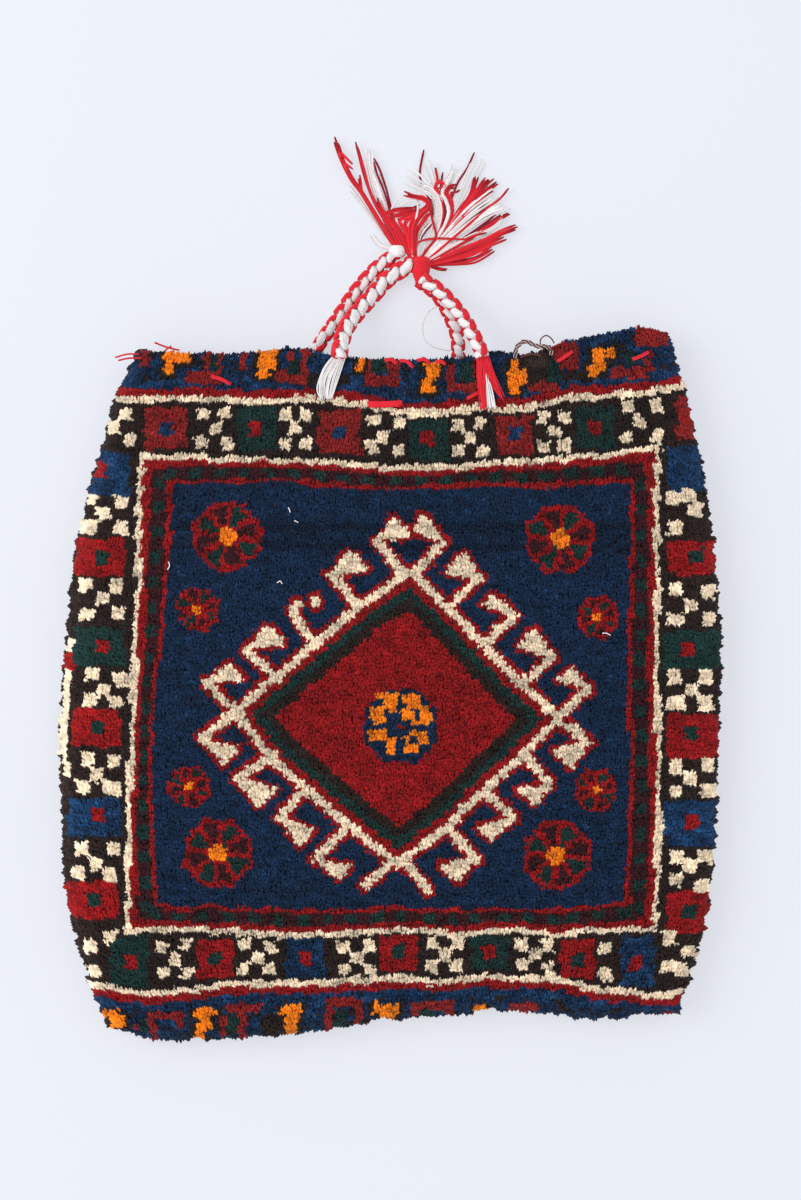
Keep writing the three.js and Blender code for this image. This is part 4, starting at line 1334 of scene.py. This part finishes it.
# Loose yarn past the knots, lowest first, as slot, yarns, width at the tips in millimetres, and the lock's
# middle line in pixels of the photo frame
LEFT_LOCKS = [
    (WHITE_SLOT, 2, 3, [(394, 248), (384, 245), (376, 240), (371, 232)]),
    (WHITE_SLOT, 2, 3, [(395, 248), (382, 232), (372, 216), (360, 200), (347, 184)]),
    (WHITE_SLOT, 2, 4, [(397, 248), (386, 222), (377, 198), (371, 176), (368, 158), (367, 147)]),
    (WHITE_SLOT, 2, 4, [(399, 248), (390, 222), (382, 200), (376, 182), (372, 166), (371, 150)]),
    (CRIMSON_AND_SHADE_SLOT, 1, 0, [(398, 248), (390, 226), (380, 204), (375, 190)]),
    (WHITE_SLOT, 3, 5, [(400, 248), (393, 224), (386, 204), (381, 188), (377, 174)]),
    (CRIMSON_AND_SHADE_SLOT, 1, 0, [(401, 248), (396, 226), (391, 205), (386, 186), (380, 168), (373, 154)]),
    (CRIMSON_AND_SHADE_SLOT, 1, 0, [(399, 246), (394, 224), (388, 202), (382, 184), (378, 174), (375, 163)]),
    (RED_SLOT, 3, 2.2, [(397, 248), (388, 234), (378, 218), (361, 190), (352, 178), (343, 160), (335, 138)]),
    (RED_SLOT, 2, 1.4, [(400, 248), (392, 231), (382, 214), (374, 200), (368, 184), (363, 168), (356, 142)]),
    (RED_SLOT, 2, 1.6, [(397, 246), (388, 232), (378, 216), (369, 202), (362, 191), (360, 181), (358, 173)]),
    (RED_SLOT, 3, 3, [(401, 248), (396, 235), (388, 221), (381, 208), (375, 197)]),
    (RED_SLOT, 1, 0, [(348, 170), (343, 160), (348, 164), (355, 168)]),
    (RED_SLOT, 1, 0, [(341, 156), (339, 149), (347, 157), (355, 165)]),
]
# Dark locks of several yarns lie under the white and red fans as painted shade: they show as dark lines
# between the yarns above them.
RIGHT_LOCKS = [
    (CRIMSON_AND_SHADE_SLOT, 7, 15, [(424, 261), (444, 239), (461, 222), (478, 208), (488, 201)]),
    (CRIMSON_AND_SHADE_SLOT, 4, 8, [(426, 261), (446, 249), (462, 241), (478, 234)]),
    (CRIMSON_AND_SHADE_SLOT, 1, 0, [(421, 262), (430, 236), (432, 205), (423, 184), (420, 170), (423, 150)]),
    (CRIMSON_AND_SHADE_SLOT, 1, 0, [(423, 262), (438, 232), (449, 204), (458, 181), (467, 166), (475, 150)]),
    (WHITE_SLOT, 3, 9, [(420, 262), (430, 236), (437, 212), (433, 194), (422, 180), (408, 168)]),
    (WHITE_SLOT, 3, 11, [(421, 262), (432, 236), (440, 210), (439, 192), (434, 176), (430, 160)]),
    (WHITE_SLOT, 3, 10, [(422, 262), (436, 234), (446, 210), (448, 192), (452, 176), (460, 163)]),
    (WHITE_SLOT, 4, 10, [(422, 262), (440, 232), (455, 208), (464, 190), (472, 172), (479, 158)]),
    (RED_SLOT, 3, 3, [(424, 262), (438, 243), (449, 225), (462, 206), (471, 194), (474, 184), (477, 175)]),
    (RED_SLOT, 4, 4.6, [(424, 262), (440, 242), (453, 224), (467, 206), (479, 189), (486, 180), (491, 176)]),
    (CRIMSON_AND_SHADE_SLOT, 1, 0, [(424, 262), (441, 242), (455, 223), (470, 205), (481, 193), (489, 184)]),
    (RED_SLOT, 3, 4, [(425, 262), (442, 241), (456, 223), (471, 206), (482, 196), (490, 188), (497, 183)]),
    (RED_SLOT, 3, 3.4, [(424, 262), (436, 243), (446, 224), (452, 210), (450, 199), (446, 191), (449, 185),
                       (455, 184)]),
    (RED_SLOT, 1, 0, [(424, 262), (437, 243), (447, 224), (453, 210), (452, 198), (450, 191), (455, 190),
                     (460, 188)]),
    (RED_SLOT, 2, 2, [(423, 262), (433, 243), (442, 226), (443, 210), (441, 198)]),
    (RED_SLOT, 1, 0, [(422, 262), (434, 240), (443, 216), (442, 200), (436, 188), (438, 178), (436, 168)]),
    (CRIMSON_AND_SHADE_SLOT, 1, 0, [(423, 262), (436, 240), (445, 216), (444, 200), (441, 190), (442, 178), (444, 166)]),
    (WHITE_SLOT, 3, 5, [(420, 261), (428, 240), (435, 224), (437, 207), (433, 194), (422, 186), (406, 180)]),
    (WHITE_SLOT, 2, 3, [(421, 261), (431, 240), (439, 224), (441, 208), (437, 194), (430, 186), (420, 184)]),
    (WHITE_SLOT, 2, 2.6, [(422, 261), (434, 242), (444, 225), (449, 210), (446, 198), (442, 190), (448, 180),
                         (454, 169)]),
    (WHITE_SLOT, 1, 0, [(422, 261), (433, 242), (442, 226), (446, 211), (444, 199), (438, 190), (431, 183)]),
    (RED_SLOT, 2, 3, [(441, 192), (435, 185), (440, 179), (445, 184), (440, 187)]),
    (WHITE_SLOT, 3, 7, [(423, 260), (438, 242), (451, 227), (464, 214), (478, 202)]),
    (WHITE_SLOT, 6, 13, [(424, 260), (444, 239), (461, 222), (478, 208), (497, 195)]),
    (WHITE_SLOT, 3, 6, [(425, 260), (448, 240), (468, 226), (487, 213), (506, 205)]),
    (RED_SLOT, 1, 0, [(426, 260), (456, 234), (484, 210), (500, 197), (510, 185)]),
    (CRIMSON_AND_SHADE_SLOT, 2, 3.4, [(427, 261), (456, 243), (476, 229), (488, 220), (497, 214)]),
    (RED_SLOT, 2, 2.4, [(427, 261), (460, 243), (482, 229), (500, 217), (511, 211)]),
    (WHITE_SLOT, 2, 2.6, [(426, 261), (452, 245), (474, 233), (490, 228), (499, 221), (504, 210)]),
    (WHITE_SLOT, 5, 8.4, [(426, 261), (446, 249), (462, 241), (476, 235), (488, 229)]),
    (CRIMSON_AND_SHADE_SLOT, 4, 12, [(428, 263), (448, 258), (468, 252), (486, 244)]),
    (RED_SLOT, 3, 5, [(428, 264), (445, 262), (460, 261), (476, 258), (492, 248)]),
    (RED_SLOT, 3, 5, [(428, 263), (450, 258), (470, 252), (488, 243), (503, 236)]),
    (RED_SLOT, 3, 4, [(427, 262), (446, 255), (466, 247), (486, 239), (502, 231), (515, 226)]),
    (RED_SLOT, 2, 2, [(428, 264), (438, 267), (447, 268)]),
    (CRIMSON_AND_SHADE_SLOT, 3, 5, [(417, 258), (418, 240), (424, 228), (430, 220)]),
    (WHITE_SLOT, 4, 7, [(417, 258), (417, 240), (421, 227), (431, 216)]),
    (RED_SLOT, 2, 3, [(413, 262), (406, 248), (399, 234), (389, 220), (386, 213), (394, 209), (410, 207)]),
    (RED_SLOT, 2, 3, [(413, 262), (407, 247), (402, 232), (394, 221), (391, 215), (400, 213), (416, 206)]),
    (RED_SLOT, 2, 3, [(414, 262), (409, 246), (406, 231), (401, 223), (399, 218), (407, 215), (420, 206)]),
    (RED_SLOT, 2, 2, [(414, 262), (411, 246), (409, 231), (405, 223), (409, 217), (418, 211)]),
    (WHITE_SLOT, 1, 0, [(391, 209), (394, 202), (400, 196), (408, 195), (416, 198)]),
    (RED_SLOT, 3, 4, [(415, 262), (412, 244), (411, 226), (417, 214), (427, 206), (430, 200)]),
    (RED_SLOT, 3, 3, [(415, 262), (414, 228), (421, 214), (430, 205), (424, 197), (414, 195), (404, 192)]),
    (RED_SLOT, 2, 2, [(416, 262), (415, 244), (417, 230), (424, 218), (431, 210)]),
    (WHITE_SLOT, 1, 0, [(413, 256), (413, 236), (416, 218), (418, 206), (415, 198), (404, 202), (391, 208)]),
    (RED_SLOT, 1, 0, [(418, 262), (427, 248), (436, 236), (434, 222), (430, 208), (427, 200)]),
    (RED_SLOT, 1, 0, [(413, 254), (416, 243), (424, 239), (437, 237), (456, 237.5), (464, 238), (474, 234),
                     (488, 231)]),
]
LOOSE_YARN = {WHITE_SLOT: 0.66, RED_SLOT: 0.78, CRIMSON_AND_SHADE_SLOT: 0.7}
YARN_SHADES = {WHITE_SLOT: (0.8, 1.06), RED_SLOT: (0.64, 1.08), CRIMSON_AND_SHADE_SLOT: (0.95, 1.25)}


def add_tassel(name, locks, start_height, materials):
    """Locks of thin yarn that fan out from a knot and sink to the floor, each on the ones before it."""
    lowest, stack, knot_size = 0.9, 4.5, 10
    closeness, tip_darkness, tip_start = 1.2, 0.5, 0.82
    knot = np.array(from_pixels(*locks[0][3][0]))
    bundle = Bundle()
    for order, (slot, yarns, width, points) in enumerate(locks):
        layer = lowest + stack * order / len(locks)
        line = np.array([from_pixels(*point) for point in points])
        from_knot = np.linalg.norm(line[0] - knot) < knot_size
        knot_height = start_height + stack * (order / len(locks) - 0.5) if from_knot else layer
        neck = closeness * LOOSE_YARN[slot] * (yarns - 1)
        widths = neck + (width - neck) * np.linspace(0, 1, len(line))
        for place in beside(yarns):
            path, radius = loose_yarn(line, place * widths, knot_height, layer, LOOSE_YARN[slot])
            shade = np.full(len(path), random.uniform(*YARN_SHADES[slot]))
            if slot == RED_SLOT:
                shade *= 1 - tip_darkness * smoothstep(np.linspace(0, 1, len(path)), tip_start, 1)
            bundle.add(path, radius, sides=5, shade=shade, slot=slot)
    return bundle.build(name, materials)


def loose_yarn(line, aside, start_height, layer, thickness):
    """One yarn of a lock: its path beside the lock's middle line and its radii."""
    wander, end_spread, start_spread, lift = 0.22, 1.6, 0.3, 0.6
    sink_speed, sink_bend = 1.6, 1.5
    floor_gap, spacing = 0.1, 2.8
    thinnest, thickest, tip = 0.9, 1.05, 0.6
    share = np.linspace(0, 1, len(line))
    heading = unit(np.gradient(line, axis=0))
    away = np.column_stack([-heading[:, 1], heading[:, 0]])
    aside = aside + random.normal(0, wander, len(line)) * share
    flat = line + away * aside[:, None]
    flat[-1] += heading[-1] * random.normal(0, end_spread)
    sink = np.clip(1 - sink_speed * share, 0, 1) ** sink_bend
    fall = start_height - layer + random.normal(0, start_spread)
    height = np.maximum(layer + fall * sink + random.uniform(0, lift), thickness + floor_gap)
    path = smooth_path(np.column_stack([flat, height]), spacing)
    radius = np.full(len(path), thickness * random.uniform(thinnest, thickest))
    radius[-1] *= tip
    return path, radius


# Loose ends of red yarn: thickness in millimetres, and start, middle and end in pixels of the photo frame
STITCHES = {
    "long_stitch": (3.6, [[(368, 405), (385, 405), (402, 404)]]),
    "left_stitch": (2, [[(212, 377), (222, 380), (231, 385)]]),
    "tail_stitch": (2, [[(467, 399), (473, 396), (478, 393)]]),
    "mouth_stitch_1": (2, [[(385, 361), (391, 360), (397, 364)], [(400, 361), (407, 362), (413, 368)]]),
    "mouth_stitch_2": (2, [[(417, 361), (424, 360), (430, 364)], [(436, 362), (441, 362), (445, 365)]]),
    "right_stitch_1": (2, [[(557, 362), (565, 357), (572, 352)]]),
    "right_stitch_2": (2, [[(632, 360), (640, 357), (648, 353)]]),
}
# Thread ends that stick out past the edge, and short pale threads in the field
EDGE_THREADS = [
    [(140, 355), (128, 355), (116, 358)], [(142, 359), (130, 359), (119, 361)],
    [(180, 351), (168, 348), (155, 343)], [(172, 347), (167, 350), (164, 354)],
]
PALE_THREADS = [
    [(601, 633), (605, 633), (609, 635)], [(289, 508), (290, 510), (291, 513)],
    [(295, 521), (297, 522), (299, 523)], [(278, 583), (281, 581), (283, 584)],
    [(170, 562), (171, 566), (169, 570)],
]
# Loop of thread on the floor between the ends of the handles
FLOOR_THREAD = [(442, 303), (431, 308), (423, 321), (424, 336), (433, 345), (444, 348), (453, 349)]
# Mending thread as x and y from the middle of the mouth edge and its lift over the pile
MENDING_ROUTE = [
    (72.5, -1, 0), (72.4, 1.2, 0), (72.5, 3.4, 0), (73.1, 5.3, -0.3), (74.2, 6.9, -0.8), (75.7, 8.3, -1.3),
    (77.7, 9.2, -1.6), (79.8, 9, -1.4), (81.8, 8, -1), (83.8, 7, -0.4), (85.8, 6.3, 0), (88, 6.2, 0),
    (89.9, 6.3, 0), (91.6, 5.6, 0), (92.8, 4.5, 0), (93.4, 2.8, 0), (93.4, 1, 0),
]
MENDING_THREAD = 1.8
# Its loose curl and the roll beside it, in pixels of the photo frame
MENDING_CURL = [(543, 350), (540, 344), (541, 339), (546, 336), (551, 339), (554, 344)]
MENDING_ROLL = [(520, 358), (528, 355), (536, 355), (541, 357)]


def on_pile(points, lift):
    """Places on top of the pile for points in pixels of the photo frame."""
    x, y = np.array([from_pixels(*point) for point in points]).T
    return np.column_stack([x, y, pile_top(x, y) + lift])


def add_stitch(node, thickness, lines, material):
    """Loose end of red yarn on the pile: two or four thin yarns that dip in at both ends."""
    lift, dip, spacing = 0.5, 1.2, 1.0
    thick, half_pitch = 3, 0.62
    darkest, lightest = 0.85, 1.05
    yarns = 4 if thickness > thick else 2
    radius = half_pitch * thickness / yarns
    bundle = Bundle()
    for line in lines:
        middle = smooth_path(on_pile(line, lift), spacing)
        _, _, binormals = frames_along(middle)
        middle[:, 2] -= dip * np.abs(np.linspace(-1, 1, len(middle))) ** 4
        for place in beside(yarns):
            path = middle + place * thickness * binormals
            bundle.add(path, radius, sides=6, shade=random.uniform(darkest, lightest))
    stand_for(bundle.build(f"{node}_yarn", [material]), node)


def add_loose_threads(red, white):
    """Thread ends that sag past the mouth's left corner, and pale threads on the field and the floor."""
    edge_radius, pale_radius, floor_radius = 0.55, 0.32, 0.3
    edge_lift, pale_lift, floor_gap = 0.3, 0.4, 0.1
    first_sag, last_sag = 0.5, 5
    spacing, pale_spacing = 1.2, 0.8
    bundle = Bundle()
    for line in EDGE_THREADS:
        points = on_pile(line, edge_lift)
        points[:, 2] -= np.linspace(first_sag, last_sag, len(points))
        bundle.add(smooth_path(points, spacing), edge_radius, sides=5, shade=0.8)
    bundle.build("edge_threads", [red])
    bundle = Bundle()
    for line in PALE_THREADS:
        bundle.add(smooth_path(on_pile(line, pale_lift), pale_spacing), pale_radius, sides=5)
    floor_points = [(*from_pixels(*point), floor_radius + floor_gap) for point in FLOOR_THREAD]
    bundle.add(smooth_path(floor_points, spacing), floor_radius, sides=5)
    bundle.build("pale_threads", [white])


def add_mending_thread():
    """Loop of doubled two-ply thread at the worn place of the mouth."""
    spacing, twist, ply_reach = 0.5, 4.2, 0.35
    thick_ply, thin_ply = 0.42, 0.3
    x, y, lift = np.array(MENDING_ROUTE, float).T
    y = y + MOUTH_MIDDLE
    points = np.column_stack([x, y, pile_top(x, y) + SURFACE_GAP + MENDING_THREAD / 2 + lift])
    path = smooth_path(points, spacing)
    _, normals, binormals = frames_along(path)
    turn = 2 * math.pi * spacing * np.arange(len(path))[:, None] / twist
    materials = [yarn_material("thread_brown", THREAD_BROWN), yarn_material("thread_pale", THREAD_PALE)]
    bundle = Bundle()
    for aside in (-0.55, 0.75):
        for ply, radius in enumerate((thick_ply, thin_ply)):
            angle = turn + ply * math.pi + aside
            around = ply_reach * (np.cos(angle) * normals + np.sin(angle) * binormals)
            bundle.add(path + around + aside * binormals, radius, sides=6, slot=ply)
    loop = bundle.build("mending_loop", materials)
    stand_for(loop, "mending_thread")
    declare_cord(loop, points, [add_mending_curl(materials)])


def add_mending_curl(materials):
    """Curl and roll of thread, half sunk in the pile."""
    bundle = Bundle()
    for line, lift, spacing, radius in ((MENDING_CURL, -0.6, 0.6, 0.42), (MENDING_ROLL, -0.2, 0.8, 0.8)):
        bundle.add(smooth_path(on_pile(line, lift), spacing), radius, sides=6)
    curl = bundle.build("mending_curl", materials)
    return curl


def declare_cord(piece, points, with_pieces):
    """Turns the points of a cord's route into metres. The cord itself is not stated."""
    route = points * MM
    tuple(route[0])


def add_handles():
    """Four braids with their sewn ends, the knots that tie them and the tassels past the knots."""
    yarns = [
        yarn_material("cotton_white", COTTON_WHITE), yarn_material("cotton_red", BRIGHT_RED),
        # crimson yarn, which also paints the shade under the tassels' fans
        yarn_material("cotton_crimson_and_painted_shade", CRIMSON_AND_SHADE_RED),
    ]
    braids, routes, tails = {}, {}, {}
    for side, form in HANDLES.items():
        braids[side], routes[side] = add_braid(f"{side}_handle", *form, yarns)
        stand_for(braids[side], f"{side}_braid")
    for side, route in routes.items():
        tails[side] = add_tail(side, route[0], yarns)
        stand_for(tails[side], f"{side}_tail")
    tied = add_knots(yarns)
    for side, braid in braids.items():
        declare_cord(braid, routes[side], [tails[side], *tied.get(side, [])])
    return yarns


def add_tail(side, start, yarns):
    """Sewn end of a handle: in front it lies on the pile, at the back under the bag."""
    name = f"{side}_tail_yarn"
    if side in FRONT_TAILS:
        return add_front_tail(name, start, FRONT_TAILS[side], yarns)
    return add_back_tail(name, start, yarns)


def add_knots(yarns):
    """Knots and the tassels past them, each pair under the handle whose cord carries it."""
    knot = add_winding("red_knot_yarn", yarns, **RED_KNOT)
    wrap = add_winding("white_wrap_yarn", yarns, **WHITE_WRAP)
    left_tassel = add_tassel("left_tassel_yarn", LEFT_LOCKS, start_height=5, materials=yarns)
    right_tassel = add_tassel("right_tassel_yarn", RIGHT_LOCKS, start_height=7, materials=yarns)
    stand_for(knot, "red_knot")
    stand_for(wrap, "white_wrap")
    stand_for(left_tassel, "left_tassel")
    stand_for(right_tassel, "right_tassel")
    return {"front_left": [knot, right_tassel], "back_left": [wrap, left_tassel]}


add_camera()
white_yarn, red_yarn, _ = add_handles()
add_mending_thread()
for stitch_node, (stitch_thickness, stitch_lines) in STITCHES.items():
    add_stitch(stitch_node, stitch_thickness, stitch_lines, red_yarn)
add_loose_threads(red_yarn, white_yarn)
front_cloth = add_foundation()
back_cloth = add_back()
add_seams()
pile = add_pile()
add_lights()
add_floor()
